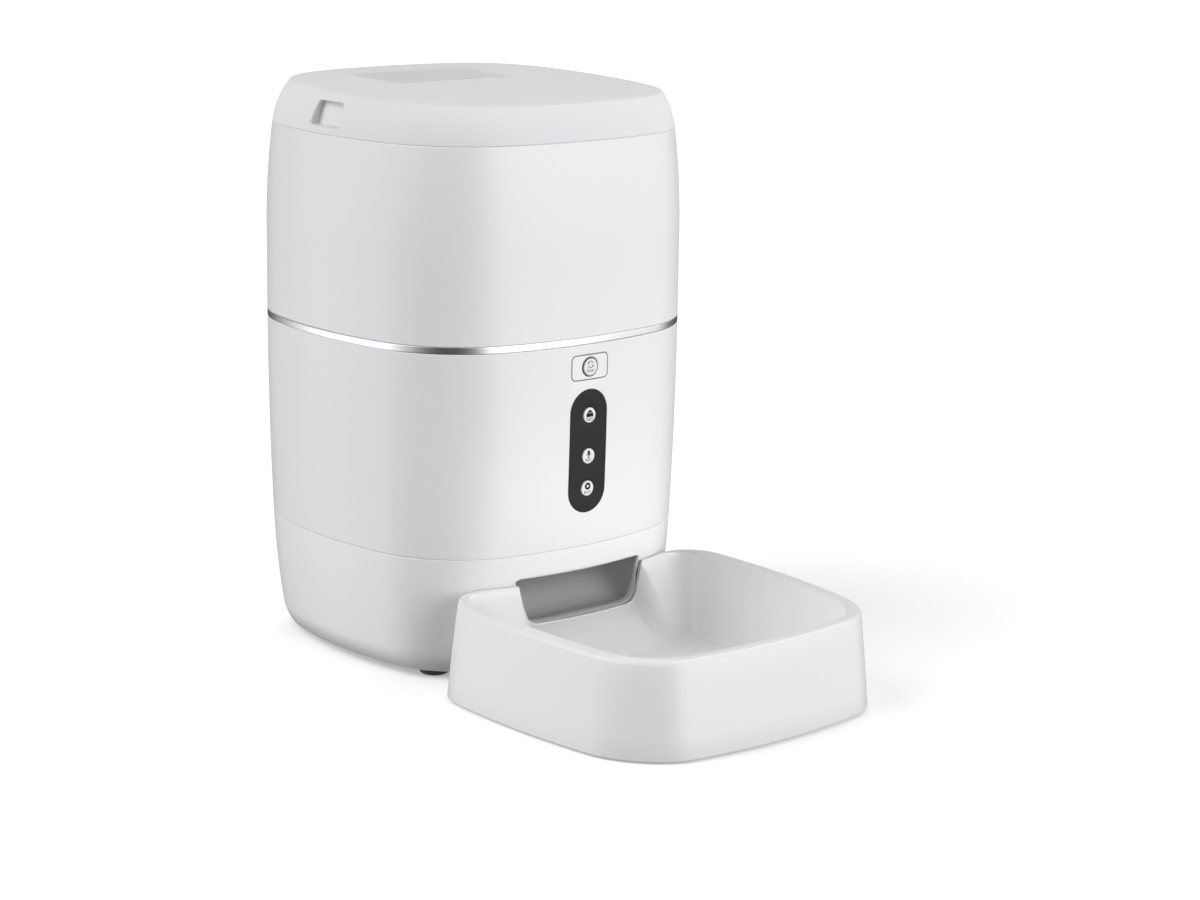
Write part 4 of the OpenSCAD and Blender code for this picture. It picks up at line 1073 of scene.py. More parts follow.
@dataclass(frozen=True)
class Lid:
    """Lift-off lid: shoulder of one radius, sloping flat top, plug skirt and two finger pockets."""

    shoulder_r: float = 46.0
    tilt: float = math.radians(1.55)
    skirt_inset: float = 8.0
    skirt_t: float = 2.2
    skirt_h: float = 11.0
    flange_t: float = 2.5
    edge_ease: float = 1.1
    first_rise: float = 0.6
    passes: int = 12
    hub: float = 0.4
    top_hub: float = 0.5
    side_facing: float = 0.9
    pocket_half: float = 14.0
    pocket_top_half: float = 11.0
    pocket_low: float = 294.4
    pocket_high: float = 307.4
    pocket_depth: float = 5.4
    pocket_ease: float = 1.6
    pocket_skin: float = 2.0
    pocket_corner: float = 1.6
    pocket_lip: float = 0.45
    gap_side: float = 5.0
    gap_below: float = 2.2
    gap_above: float = 1.8
    columns: int = 13
    levels: int = 12
    label_half: tuple[float, float] = (40.0, 24.0)
    label_corner: float = 2.0
    label_ease: float = 0.1
    label_side: float = 0.05
    label_t: float = 0.09
    label_at: tuple[float, float] = (-0.5, 39.0)

    @property
    def centre(self) -> tuple[float, float]:
        """Inset and height of the shoulder arc's centre."""
        slope = LEVELS.lid_slope
        return (LEVELS.lid_inset + self.shoulder_r * math.cos(slope),
                LEVELS.lid - self.shoulder_r * math.sin(slope))

    @property
    def pocket_mid(self) -> float:
        """Height of the pockets' middle."""
        return (self.pocket_low + self.pocket_high) / 2.0

    def shoulder(self, rise: Array) -> tuple[Array, Array]:
        """Inset and height of the shoulder at an angle of its arc."""
        inset, z = self.centre
        return inset - self.shoulder_r * np.cos(rise), z + self.shoulder_r * np.sin(rise)

    def rise_at(self, z: Array) -> Array:
        """Angle of the shoulder's arc at a height."""
        return np.arcsin((z - self.centre[1]) / self.shoulder_r)

    def top_z(self, y: Array) -> Array:
        """Height of the sloping top at a distance behind the axis."""
        return LEVELS.top + math.tan(self.tilt) * y

    def on_top(self, ring: Array, scale: float = 1.0, below: float = 0.0) -> Array:
        """Ring drawn towards the axis and laid on the sloping top, or below it."""
        x, y = scale * ring[:, 0], scale * ring[:, 1]
        return joined(x, y, self.top_z(y) - below)

    def edge_rise(self, turns: Array, wall: float) -> Array:
        """Angle at which the shoulder meets the top, worked out by repeated substitution.

        Args:
            turns: angles of the columns.
            wall: depth below the outside at which the two meet.

        Returns:
            One angle for each column.
        """
        rise = np.full_like(turns, self.first_rise)
        for _ in range(self.passes):
            _, y = OUTLINE.at(turns, self.shoulder(rise)[0] + wall)
            rise = self.rise_at(self.top_z(y) - wall)
        return rise

    def build(self) -> None:
        """Make the lid, with its two pockets, and the blank label on it."""
        spread = math.asin((self.pocket_half + self.gap_side) / OUTLINE.side_r)
        sides = [middle + np.linspace(-spread, spread, self.columns) for middle in (math.pi, FULL_TURN)]
        turns = OUTLINE.turns(sides)
        gap = np.array([self.pocket_low - self.gap_below, self.pocket_high + self.gap_above])
        low, high = self.rise_at(gap)
        patch = np.linspace(low, high, self.levels)
        edge = self.edge_rise(turns, 0.0)
        start = self.rise_at(LEVELS.lid + LEVELS.bevel)
        level = np.array([start, start + LEVELS.hold / self.shoulder_r, (start + low) / 2.0, *patch])
        above = high + np.linspace(0.0, 1.0, 4)[1:, None] * (edge - self.edge_ease / self.shoulder_r - high)
        rises = np.vstack([np.repeat(level[:, None], len(turns), axis=1), above])
        thick, foot = self.skirt_inset + self.skirt_t, LEVELS.lid - self.skirt_h
        skirt = [[thick, LEVELS.lid + self.flange_t], [thick, foot], [self.skirt_inset, foot],
                 [self.skirt_inset, LEVELS.lid]]
        rows = np.vstack([skirt, LEVELS.bevelled(LEVELS.lid_inset, LEVELS.lid, 1.0)[:-1]])
        outer = np.concatenate([self.underside(turns), around(turns, rows[:, :1], rows[:, 1:]),
                                around(turns, *self.shoulder(rises))])
        keep = np.ones((len(outer) - 1, len(turns)), bool)
        last_patch = len(outer) - len(above) - 1
        for columns in sides:
            keep[last_patch - self.levels + 1:last_patch, inside(turns, columns[0], columns[-1])] = False
        draft = Draft().loft(outer, keep, first=True)
        self.top(draft, around(turns, *self.shoulder(edge)), turns, outer[-1])
        for columns in sides:
            self.pocket(draft, columns, patch)
        draft.build(PieceSpec("lid_shell", Body.LID, Slot.SHELL, "lid_white", ("lid",)))
        self.label()

    def underside(self, turns: Array) -> Array:
        """Rings of the lid's inside, from under its middle out to the flange, drawn in behind the pockets.

        Args:
            turns: angles of the columns.

        Returns:
            Rings by columns by 3 array.
        """
        edge = self.edge_rise(turns, LEVELS.wall)
        inset, z = self.shoulder(edge)
        rim = around(turns, inset + LEVELS.wall, z)
        low = self.rise_at(LEVELS.lid + self.flange_t)
        inset, z = self.shoulder(edge + np.linspace(0.0, 1.0, 15)[1:, None] * (low - edge))
        _, y = OUTLINE.at(turns, inset)
        behind = ((np.abs(np.cos(turns)) > self.side_facing)
                  & (np.abs(y) < self.pocket_half + self.pocket_skin)
                  & (z < self.pocket_high + self.pocket_skin))
        inset = inset + np.where(behind, self.pocket_depth + self.pocket_skin, LEVELS.wall)
        return np.concatenate([[self.on_top(rim, self.hub, LEVELS.wall), rim], around(turns, inset, z)])

    def top(self, draft: Draft, corner: Array, turns: Array, last: Array) -> None:
        """Add the eased top edge and the flat top.

        The edge is a quadratic curve from the shoulder through the crisp corner to the top's plane.

        Args:
            draft: the lid's draft.
            corner: ring in which the shoulder would meet the top.
            turns: angles of the columns.
            last: the shoulder's last ring.
        """
        inset = self.shoulder(self.edge_rise(turns, 0.0))[0] + self.edge_ease
        flat = self.on_top(around(turns, inset, 0.0))
        t = np.linspace(0.0, 1.0, 5)[:, None, None]
        ease = (1.0 - t) ** 2 * last + 2.0 * t * (1.0 - t) * corner + t ** 2 * flat
        draft.loft(np.concatenate([ease, [self.on_top(flat, self.top_hub)]]), last=True)

    def pocket(self, draft: Draft, columns: Array, rises: Array) -> None:
        """Add one finger pocket: rings from the gap's edge to its outline, its walls and its floor.

        Args:
            draft: the lid's draft.
            columns: angles of the gap's columns.
            rises: shoulder angles of the gap's rows.
        """
        side = math.copysign(1.0, math.cos(columns.mean()))
        edge = gap_edge(columns, rises)
        inset, z = self.shoulder(edge[:, 1])
        outer, middle = joined(OUTLINE.at(edge[:, 0], inset)[1], z), np.array([0.0, self.pocket_mid])
        angle = heading((outer - middle) * (side, 1.0))
        lip, hole = (self.trapezoid(angle, grow) * (side, 1.0) for grow in (self.pocket_lip, 0.0))
        surface = self.on_side(np.concatenate([between(outer, lip, 3), [hole]]), side)
        surface[-1, :, 0] -= self.pocket_lip * side
        scale, lift = np.array([[1.0, 1.0], [0.985, 0.3], [0.94, 0.0], [0.6, 0.0], [0.3, 0.0]]).T[..., None]
        sunk = middle + (hole - middle) * scale[..., None]
        floor = self.on_side(sunk, side)
        share = (sunk[..., 1] - self.pocket_low) / (self.pocket_high - self.pocket_low)
        floor[..., 0] -= side * (self.pocket_depth - self.pocket_ease * share - lift)
        draft.loft(np.concatenate([surface, between(surface[-1], floor[0], 4)[1:], floor[1:]]), last=True)

    def on_side(self, flat: Array, side: float) -> Array:
        """Points of the shoulder on one side: x from the side arc at the shoulder's inset.

        Args:
            flat: y and z of the points.
            side: 1 on the right, -1 on the left.

        Returns:
            Points in x, y and z.
        """
        y, z = flat[..., 0], flat[..., 1]
        r = OUTLINE.side_r - self.shoulder(self.rise_at(z))[0]
        return joined(side * (np.sqrt(r ** 2 - y ** 2) - OUTLINE.side_centre), y, z)

    def trapezoid(self, angle: Array, grow: float) -> Array:
        """Pocket's outline where rays from its middle meet it, with rounded corners.

        Each corner is an arc about the point on the corner's bisector at corner / sin(half angle).

        Args:
            angle: angles of the rays.
            grow: how far the outline is moved out.

        Returns:
            n by 2 array of y and z.
        """
        half_h = (self.pocket_high - self.pocket_low) / 2.0
        right = np.array([[self.pocket_half, -half_h], [self.pocket_top_half, half_h]])
        corners = np.vstack([right, right[::-1] * MIRROR])
        before, after = (unit(np.roll(corners, by, axis=0) - corners) for by in (1, -1))
        half = np.arccos((before * after).sum(axis=1, keepdims=True)) / 2.0
        along = before + after
        centre = corners + unit(along) * self.pocket_corner / np.sin(half)
        turn = heading(-along)[:, None] + np.linspace(-1.0, 1.0, 9) * (QUARTER - half)
        ring = divided((centre[:, None] + polar(self.pocket_corner + grow, turn)).reshape(-1, 2), 16)
        return at_angles(ring, heading(ring), angle) + (0.0, self.pocket_mid)

    def label(self) -> None:
        """Blank label: a thin rounded plate that lies on the sloping top."""
        rows = []
        for inset, lift in ((0.0, 0.0), (0.0, self.label_side), (self.label_ease, self.label_t)):
            half_w, half_h = (half - inset for half in self.label_half)
            ring = rounded_ring(half_w, half_h, self.label_corner - inset, 4) + self.label_at
            rows.append(self.on_top(ring, below=-lift))
        Draft().loft(np.stack(rows), first=True, last=True).build(
            PieceSpec("lid_label", Body.LID, Slot.SHELL, "label_white", sharp_deg=10.0))


# Control panel


@dataclass
class Sign:
    """Dark print on a button's face: thin flat shapes of x and height about the button's middle."""

    y: float
    z: float
    thickness: float = 0.04
    capital_share: float = 0.69
    draft: Draft = field(default_factory=Draft)

    def lay(self, flat: Array, faces: Sequence[Sequence[int]] | None = None) -> None:
        """Lay a flat shape on the face.

        Args:
            flat: its points.
            faces: places in flat, anticlockwise from the front, or None for one face round all points.
        """
        points = joined(flat[:, 0], self.y - self.thickness, flat[:, 1] + self.z)
        self.draft.add(points, [range(len(flat))] if faces is None else faces)

    def box(self, half_w: float, low: float, high: float, top_half: float | None = None) -> None:
        """Lay an upright trapezoid, or a rectangle where no other half width is given for its top."""
        top = half_w if top_half is None else top_half
        self.lay(np.array([[-half_w, low], [half_w, low], [top, high], [-top, high]]))

    def strip(self, outer: Array, inner: Array) -> None:
        """Lay the band between two lines of points, the outer one running anticlockwise."""
        k, count = np.arange(len(outer) - 1), len(outer)
        self.lay(np.vstack([outer, inner]), joined(k, k + 1, count + k + 1, count + k))

    def arc(self, radius: float, start: float, end: float, middle: float = 0.0) -> Array:
        """Points on an arc about a height, in degrees."""
        return polar(radius, np.radians(np.linspace(start, end, 25))) + (0.0, middle)

    def word(self, text: str, height: float, low: float) -> None:
        """Set a plain word across the button, made a mesh before it is laid.

        Args:
            text: the word.
            height: height of its capitals.
            low: height of its line about the button's middle.
        """
        curve = bpy.data.curves.new(text, "FONT")
        curve.body = text
        curve.align_x = "CENTER"
        curve.size = height / self.capital_share
        curve.resolution_u = 3
        holder = bpy.data.objects.new(text, curve)
        bpy.context.scene.collection.objects.link(holder)
        bpy.context.view_layer.update()
        mesh = holder.to_mesh()
        points = np.empty(len(mesh.vertices) * 3)
        mesh.vertices.foreach_get("co", points)
        faces = [list(polygon.vertices) for polygon in mesh.polygons]
        self.lay(points.reshape(-1, 3)[:, :2] + (0.0, low), faces)
        holder.to_mesh_clear()
        bpy.data.objects.remove(holder)
        bpy.data.curves.remove(curve)

    def bowl(self) -> None:
        """Draw a full bowl: a trapezoid under a flattened half disc."""
        self.box(2.55, -0.9, 1.3, 2.15)
        self.lay(self.arc(1.0, 0.0, 180.0) * (1.55, 1.35) + (0.0, 1.5))

    def microphone(self) -> None:
        """Draw a microphone: a round-ended head over a cradle, a stem and a foot."""
        low, high = 1.35, 2.3
        self.lay(np.vstack([self.arc(0.85, 0.0, 180.0, high), self.arc(0.85, 180.0, 360.0, low)]))
        self.strip(*(self.arc(radius, 185.0, 355.0, low) for radius in (1.5, 1.18)))
        self.box(0.17, -0.55, -0.1)
        self.box(0.85, -0.85, -0.5)

    def play(self) -> None:
        """Draw a disc with a triangle cut out, joined along rays from their middle."""
        middle = (0.0, 1.2)
        hole = divided(polar(1.15, circle(3)), 12)
        rim = polar(2.0, heading(hole))
        self.strip(*(np.vstack([ring, ring[:1]]) + middle for ring in (rim, hole)))

    def arrows(self) -> None:
        """Draw two arrows that chase each other round a circle."""
        middle, sweep, head = 1.35, 118.0, 40.0
        for start in (20.0, 200.0):
            self.strip(*(self.arc(radius, start, start + sweep, middle) for radius in (2.0, 1.6)))
            tail, tip = self.arc(1.0, start + sweep, start + sweep + head)[[0, -1]]
            self.lay(np.array([tail * 2.5, tip * 1.8, tail * 1.1]) + (0.0, middle))


@dataclass(frozen=True)
class Button:
    """Place, size, body and print of one push button."""

    name: str
    body: Body
    z: float
    draw: Callable[[Sign], None]
    word: str
    word_low: float
    word_h: float = 1.5
    radius: float = 4.2
    proud: float = 0.7
    ink: str = "print_black"
    stem_r: float = 1.6
    stem_end: float = 8.0
    flange: float = 1.0
    flange_back: float = 5.4
    flange_front: float = 4.6
    columns: int = 56

    @property
    def face_y(self) -> float:
        """Depth of the flat face, which stands proud of the housing's middle line."""
        return -OUTLINE.depth / 2.0 + float(LEVELS.housing_inset(self.z)) - self.proud

    def turned(self, profile: Array, count: int) -> Array:
        """Rings of a profile of radius and depth behind the face, turned about the button's axis."""
        flat = polar(profile[:, :1], circle(count))
        return joined(flat[..., 0], self.face_y + profile[:, 1:], self.z + flat[..., 1])

    def build(self) -> None:
        """Make the cap, a stem, a flange, a skirt and a face with a rounded edge, and the print on it."""
        r, out = self.radius, self.radius + self.flange
        profile = np.array([
            [self.stem_r, self.stem_end], [self.stem_r, self.flange_back], [out, self.flange_back],
            [out, self.flange_front], [r, self.flange_front], [r, 0.5], [r - 0.04, 0.28],
            [r - 0.15, 0.12], [r - 0.34, 0.03], [r - 0.6, 0.0], [r * 0.5, 0.0]])
        Draft().loft(self.turned(profile, self.columns), first=True, last=True).build(
            PieceSpec(f"{self.name}_cap", self.body, Slot.BUTTON, "cap_white", (f"{self.name}_button",)))
        sign = Sign(self.face_y, self.z)
        self.draw(sign)
        sign.word(self.word, self.word_h, self.word_low)
        sign.draft.build(PieceSpec(f"{self.name}_mark", self.body, Slot.PANEL, self.ink, wall=sign.thickness))


FEED = Button("feed", Body.FEED, 142.7, Sign.bowl, "FEED", -2.95)
RECORD = Button("record", Body.RECORD, 120.0, Sign.microphone, "REC", -2.85)
PLAY = Button("play", Body.PLAY, 101.9, Sign.play, "PLAY", -2.85)
RESET = Button("reset", Body.RESET, 169.3, Sign.arrows, "Reset", -2.65, 1.6, 5.25, 0.5, "print_grey")


@dataclass(frozen=True)
class ControlPanel:
    """Dark panel with three push buttons, and the outlined plate of the reset button above it."""

    half_w: float = 13.0
    half_h: float = 34.5
    middle: float = 122.7
    proud: float = 0.2
    ease: float = 0.35
    sunk: float = 0.4
    gap: float = 0.3
    well_ease: float = 0.25
    well_depth: float = 2.0
    mic_z: float = 111.6
    splits: tuple[float, float] = (110.4, 131.3)
    plate_half: tuple[float, float] = (12.75, 7.1)
    plate_corner: float = 3.0
    plate_inset: float = 0.2
    plate_proud: float = 0.05
    mic_columns: int = 20
    rim_columns: int = 64

    def build(self) -> None:
        """Make the panel, the reset plate with its lines, and the four buttons with their prints."""
        self.panel()
        self.reset_plate()
        for button in (FEED, RECORD, PLAY, RESET):
            button.build()

    def loops(self, inset: float) -> tuple[Array, Array, Array, Array]:
        """Parts of the panel's outline drawn in by an inset, anticlockwise.

        Args:
            inset: how far the outline is drawn in.

        Returns:
            The right, top, left and bottom parts, as x and z.
        """
        half, straight = self.half_w - inset, self.half_h - self.half_w
        low, high = self.splits
        arc = polar(half, np.linspace(0.0, math.pi, 33))
        side = joined(half, np.linspace(low, high, 10))
        climb = joined(half, np.linspace(high, self.middle + straight, 6)[:-1])
        fall = joined(-half, np.linspace(low, self.middle - straight, 6)[:-1])
        top = np.vstack([climb, arc + (0.0, self.middle + straight), (climb * MIRROR)[::-1]])
        bottom = np.vstack([fall, -arc + (0.0, self.middle - straight), (fall * MIRROR)[::-1]])
        return side, top, (side * MIRROR)[::-1], bottom

    def well(self, draft: Draft, edge: Array, button: Button, face: float) -> None:
        """Add one cell of a plate: rings from its edge to the eased mouth of a button's well, and its wall.

        Each point of the edge is joined to the well's circle along the ray from the button's middle.

        Args:
            draft: the plate's draft.
            edge: x and z of the cell's edge, anticlockwise.
            button: the button that sits in the well.
            face: how far the plate stands proud.
        """
        middle, radius, ease = (0.0, button.z), button.radius + self.gap, self.well_ease
        ray = unit(edge - middle)
        plate = front_point(between(edge, ray * (radius + ease) + middle, 3), face)
        wall = [front_point(ray * (radius + out) + middle, face - down)
                for out, down in ((0.07, 0.07), (0.0, ease), (0.0, self.well_depth))]
        draft.loft(np.concatenate([plate, wall]))

    def panel(self) -> None:
        """Panel: three cells with a well each, an eased edge into the housing, and a microphone's hole."""
        right, top, left, bottom = self.loops(self.ease)
        low, high = (joined(np.linspace(-1.0, 1.0, 13) * (self.half_w - self.ease), z) for z in self.splits)
        draft = Draft()
        for button, parts in ((FEED, (high, top)), (RECORD, (low, right, high[::-1], left)),
                              (PLAY, (low[::-1], bottom))):
            self.well(draft, np.vstack([part[:-1] for part in parts]), button, self.proud)
        turn = np.linspace(0.0, QUARTER, 5)
        eased = zip(self.ease * (1.0 - np.cos(turn)), self.proud - self.ease * (1.0 - np.sin(turn)))
        rows = [front_point(np.vstack([part[:-1] for part in self.loops(inset)]), face)
                for inset, face in ((0.0, -self.sunk), *eased)]
        draft.loft(np.stack(rows)).build(
            PieceSpec("panel_face", Body.FEEDER, Slot.PANEL, "panel_black", ("control_panel",)))
        rings = [front_point(polar(r, circle(self.mic_columns)) + (0.0, self.mic_z), self.proud + lift)
                 for r, lift in ((0.75, -0.1), (0.7, 0.02), (0.55, 0.02), (0.5, -0.08))]
        Draft().loft(np.stack(rings), last=True).build(
            PieceSpec("microphone_hole", Body.FEEDER, Slot.PANEL, "print_black"))

    def plate_ring(self, inset: float) -> Array:
        """Outline of the reset plate drawn in by an inset."""
        half_w, half_h = (half - inset for half in self.plate_half)
        return rounded_ring(half_w, half_h, self.plate_corner - inset, 8, 9) + (0.0, RESET.z)

    def reset_plate(self) -> None:
        """Reset plate: a flush cell with a well, a thin line round its edge and a grey rim on its button."""
        draft = Draft()
        self.well(draft, self.plate_ring(self.plate_inset), RESET, self.plate_proud)
        draft.build(PieceSpec("reset_face", Body.FEEDER, Slot.SHELL, "plate_white", ("reset_plate",)))
        line = ((0.0, -0.1), (0.0, 0.08), (0.1, 0.12), (0.5, 0.12), (0.6, 0.08), (0.6, -0.1))
        rows = [front_point(self.plate_ring(inset), lift) for inset, lift in line]
        Draft().loft(np.stack(rows)).build(PieceSpec("reset_line", Body.FEEDER, Slot.SHELL, "print_grey"))
        rim = np.array([[0.04, 0.9], [0.05, 0.5], [0.0, 0.24], [-0.12, 0.07], [-0.36, -0.02],
                        [-0.68, -0.04], [-0.7, 0.02]]) + (RESET.radius, 0.0)
        Draft().loft(RESET.turned(rim, self.rim_columns)).build(
            PieceSpec("reset_rim", Body.RESET, Slot.PANEL, "print_grey"))


# Bowl


@dataclass(frozen=True)
class Bowl:
    """Slide-out bowl: a rounded box with bulging sides, a flat eased rim and a notch under the chute."""

    width: float = 196.4
    reach: float = 260.3
    height: float = 53.0
    floor: float = 12.0
    gap: float = 1.1
    wall: float = 2.4
    lean: float = 5.8
    rim_w: float = 8.6
    rim_out: float = 1.8
    rim_soft: float = 2.4
    rim_lip: float = 1.1
    front_r: float = 32.0
    front_tighten: float = 0.7
    front_drop: float = 0.028
    rear_r: float = 30.0
    rim_r: float = 17.0
    floor_r: float = 6.0
    bulge_r: float = 414.0
    back_gap: float = 0.2
    notch: Mouth = MOUTH.grown(0.3)
    notch_reach: float = 47.5
    notch_depth: float = 8.0
    notch_thin: float = 0.35
    ramp_still: float = 0.5
    ramp_narrow: float = 0.09
    ramp_shares: tuple[float, float] = (0.95, 0.985)
    ramp_limit: float = 0.99
    pad_r: float = 6.0
    pad_low: float = 1.5
    pad_side: float = 48.0
    pad_front: float = 55.0
    pad_back: float = 50.0
    pad_into: float = 1.0
    pad_columns: int = 24

    @property
    def back(self) -> float:
        """Depth of the back wall's outer face at the middle."""
        return -OUTLINE.depth / 2.0 + LEVELS.seam_inset - self.back_gap

    @property
    def middle(self) -> float:
        """Depth at which the bowl is widest."""
        return -self.reach + self.width / 2.0

    def notch_columns(self) -> Array:
        """Places across the back wall from right to left, close together along the notch's sides."""
        side = np.concatenate([np.linspace(27.0, 34.0, 5), np.linspace(35.0, 39.6, 9),
                               np.linspace(40.0, 44.2, 12), [self.notch_reach]])
        return np.concatenate([-side[::-1], np.linspace(-22.0, 22.0, 7), side])[::-1]

    def back_run(self, back: Array, w: Array, q: Array) -> Array:
        """Places across the back between its corners, spread out towards the floor for the notch's ramp.

        The columns' places are interpolated between the notch's knots. Each knot goes from its own place
        at the rim to a share of the back's half width at the floor.

        Args:
            back: depth of each row's back.
            w: half width of each row.
            q: radius of each row's rear corners.

        Returns:
            x of each row's columns.
        """
        squeeze = 1.0 - (back - self.middle) ** 2 / (2.0 * self.bulge_r * w)
        deep = np.clip((self.rim_r - q) / (self.rim_r - self.floor_r), 0.0, 1.0)
        knots = np.array([0.0, self.notch.sill_half, self.notch.top_half, self.notch_reach])
        ends = np.hstack([0.0 * w, knots[1] / squeeze * (1.0 - self.ramp_narrow * deep),
                          (1.0 - deep) * knots[2:] / squeeze + deep * self.ramp_shares * (w - q)])
        ends *= np.minimum(1.0, self.ramp_limit * (w - q) / ends[:, 3:])
        columns = self.notch_columns()
        across = np.stack([np.sign(columns) * np.interp(np.abs(columns), knots, row) for row in ends])
        beyond = (ends[:, 3:] + np.linspace(1.0, 0.0, 5)[:-1] * (w - q - ends[:, 3:]))[:, 1:]
        return np.hstack([beyond, across, -beyond[:, ::-1]])

    def rings(self, rows: Array) -> Array:
        """Rings of the bowl, one for each row.

        A ring is a box with rounded corners. Its sides bulge by a parabola in y, and its front and
        back by one in x, from the bulge's radius in front to the body's radius behind. Heights drop
        a little towards the front.

        Args:
            rows: columns of inset, depth of the back, height, height at the back and rear corner radius.

        Returns:
            n by columns by 3 array.
        """
        inset, back, z, back_z, q = (column[:, None] for column in rows.T)
        w, f, r = self.width / 2.0 - inset, -self.reach + inset, self.front_r - self.front_tighten * inset
        sin, cos = (wave(np.linspace(0.0, QUARTER, 17)) for wave in (np.sin, np.cos))
        front_s = np.linspace(-1.0, 1.0, 26)[1:-1]
        side_s = np.linspace(0.0, 1.0, 14)[1:-1]
        run = self.back_run(back, w, q)
        box = [
            ((w - r) * front_s, f + 0.0 * front_s),
            (w - r + r * sin, f + r - r * cos),
            (w + 0.0 * side_s, (f + r) * (1.0 - side_s) + (back - q) * side_s),
            (w - q + q * cos, back - q + q * sin),
            (run, back + 0.0 * run),
            (q - w - q * sin, back - q + q * cos),
            (-w + 0.0 * side_s, (f + r) * side_s + (back - q) * (1.0 - side_s)),
            (r - w - r * cos, f + r - r * sin),
        ]
        x, y = (np.hstack(parts) for parts in zip(*box))
        share = (y - f) / (back - f)
        rear = np.maximum(0.0, (y - back + q) / q)
        bowed = y + x ** 2 / 2.0 * ((1.0 - share) / self.bulge_r + share / OUTLINE.side_r)
        height = (z + (back_z - z) * rear) * (1.0 - self.front_drop * (1.0 - share))
        return joined(x * (1.0 - (y - self.middle) ** 2 / (2.0 * self.bulge_r * w)), bowed, height)

    def profile(self) -> tuple[Array, Array, Array, Array]:
        """Rows of inset, depth of the back and height; the underside's also give the height at the back.

        Returns:
            The underside, the outside, the rim with two eased edges and the basin with its curved foot.
        """
        rim_in, back_in = self.lean + self.rim_w, self.back - self.wall
        under, sill, high = self.floor - self.wall, self.notch.sill - self.wall, self.height
        below = np.array([
            [rim_in + 28.0, back_in - 32.0, under, under],
            [rim_in + 20.0, back_in - 22.5, under + 0.6, under + 0.6],
            [rim_in + 11.0, back_in - 12.8, under + 4.4, under + 4.4],
            [rim_in + 5.7, back_in - 5.8, under + 12.0, under + 12.0],
            [rim_in + 1.7, back_in - 3.4, high - 17.0, sill - 4.0],
            [rim_in - 2.6, back_in - 2.4, high - 7.5, sill - 2.0],
            [self.lean + self.wall, back_in - 1.2, high - 7.5, sill - 2.0],
            [self.wall + 1.0, back_in - 0.4, self.gap + 8.0, self.gap + 8.0],
            [self.wall, back_in, self.gap, self.gap]])
        outside = np.array([
            [0.5, 0.0, self.gap], [0.12, 0.0, self.gap + 0.25], [0.0, 0.0, self.gap + 0.8],
            [self.lean * 0.2, 0.0, high * 0.27], [self.lean * 0.42, 0.0, high * 0.5],
            [self.lean * 0.7, 0.0, high * 0.78], [self.lean * 0.92, 0.0, high - self.rim_out - LEVELS.hold],
            [self.lean * 0.935, -0.02, high - self.rim_out]]) + (0.0, self.back, 0.0)
        turn = np.linspace(0.0, QUARTER, 8)
        flat = np.array([self.rim_soft + LEVELS.hold, self.rim_w - self.rim_lip - LEVELS.hold])
        over = np.concatenate([self.rim_soft * (1.0 - np.cos(turn[1:])), flat,
                               self.rim_w - self.rim_lip * (1.0 - np.sin(turn[:-1]))])
        drop = np.concatenate([self.rim_out * (1.0 - np.sin(turn[1:])), 0.0 * flat,
                               self.rim_lip * (1.0 - np.cos(turn[:-1]))])
        rim = joined(self.lean + over, self.back - self.wall * over / self.rim_w, high - drop)
        top = np.array([rim_in, back_in, high - self.rim_lip])
        foot = np.array([rim_in + 20.5, back_in - 24.0, self.floor + 4.5])
        curve = np.array([[0.0, 0.0, 0.0], [2.0, -2.3, -2.9], [5.0, -5.5, -4.15], [8.5, -9.0, -4.5]])
        wall = top + np.linspace(0.0, 1.0, 9)[:-1, None] * (foot - top)
        return below, outside, rim, np.vstack([wall, smooth_rows(foot + curve, 3)])

    def build(self) -> None:
        """Make the bowl from underneath, up its outside, over the rim and into the basin, with four posts."""
        below, outside, rim, basin = self.profile()
        heights, radii = [self.floor, self.height - self.rim_lip], [self.floor_r, self.rim_r]
        corners = np.concatenate([np.full(len(below) + len(outside), self.rear_r),
                                  np.linspace(self.rear_r, self.rim_r, len(rim)),
                                  np.interp(basin[:, 2], heights, radii)])
        upper = np.vstack([outside, rim, basin])
        rows = np.column_stack([np.vstack([below, np.column_stack([upper, upper[:, 2]])]), corners])
        rings = self.rings(rows)
        rings[len(below):] = self.notched(rings[len(below):], len(outside), len(rim))
        draft = Draft().loft(rings, first=True, last=True)
        for x in (self.pad_side - self.width / 2.0, self.width / 2.0 - self.pad_side):
            for y in (-self.reach + self.pad_front, -OUTLINE.depth / 2.0 - self.pad_back):
                ring = joined(*(polar(self.pad_r, circle(self.pad_columns)) + (x, y)).T, self.pad_low)
                rise = (0.0, 0.0, self.floor - self.wall - self.pad_into)
                draft.loft(np.stack([ring, ring + rise]), first=True)
        draft.build(PieceSpec("bowl_shell", Body.BOWL, Slot.BOWL, "bowl_white", ("bowl",), sharp_deg=40.0))

    def notched(self, rings: Array, outside: int, rim: int) -> Array:
        """Lower the back wall to the notch's edge, each column by its own share.

        Heights above the floor are pressed together so that the column's rim comes to the notch's edge, which
        leaves a flat ramp from the sill to the floor.

        Args:
            rings: rings of the outside, rim and basin.
            outside: number of rings of the outside.
            rim: number of rings of the rim.

        Returns:
            The rings with the notch.
        """
        made, still, z = rings.copy(), self.floor + self.ramp_still, rings[..., 2]
        tops = np.minimum(self.notch.edge_z(rings[outside + rim // 2, :, 0]), self.height)
        cut = (rings[0, :, 1] > self.back - self.notch_depth) & (tops < self.height - TOUCH)
        press = np.where(cut, (tops - still) / (self.height - still), 1.0)
        made[..., 2] = np.where(z > still, still + (z - still) * press, z)
        edge = slice(outside, outside + rim)
        thin = np.minimum(1.0, self.notch_thin + (1.0 - self.notch_thin) * press)
        made[edge, :, 2] = np.where(cut, tops - (self.height - z[edge]) * thin, z[edge])
        return made


# Frame, light and camera


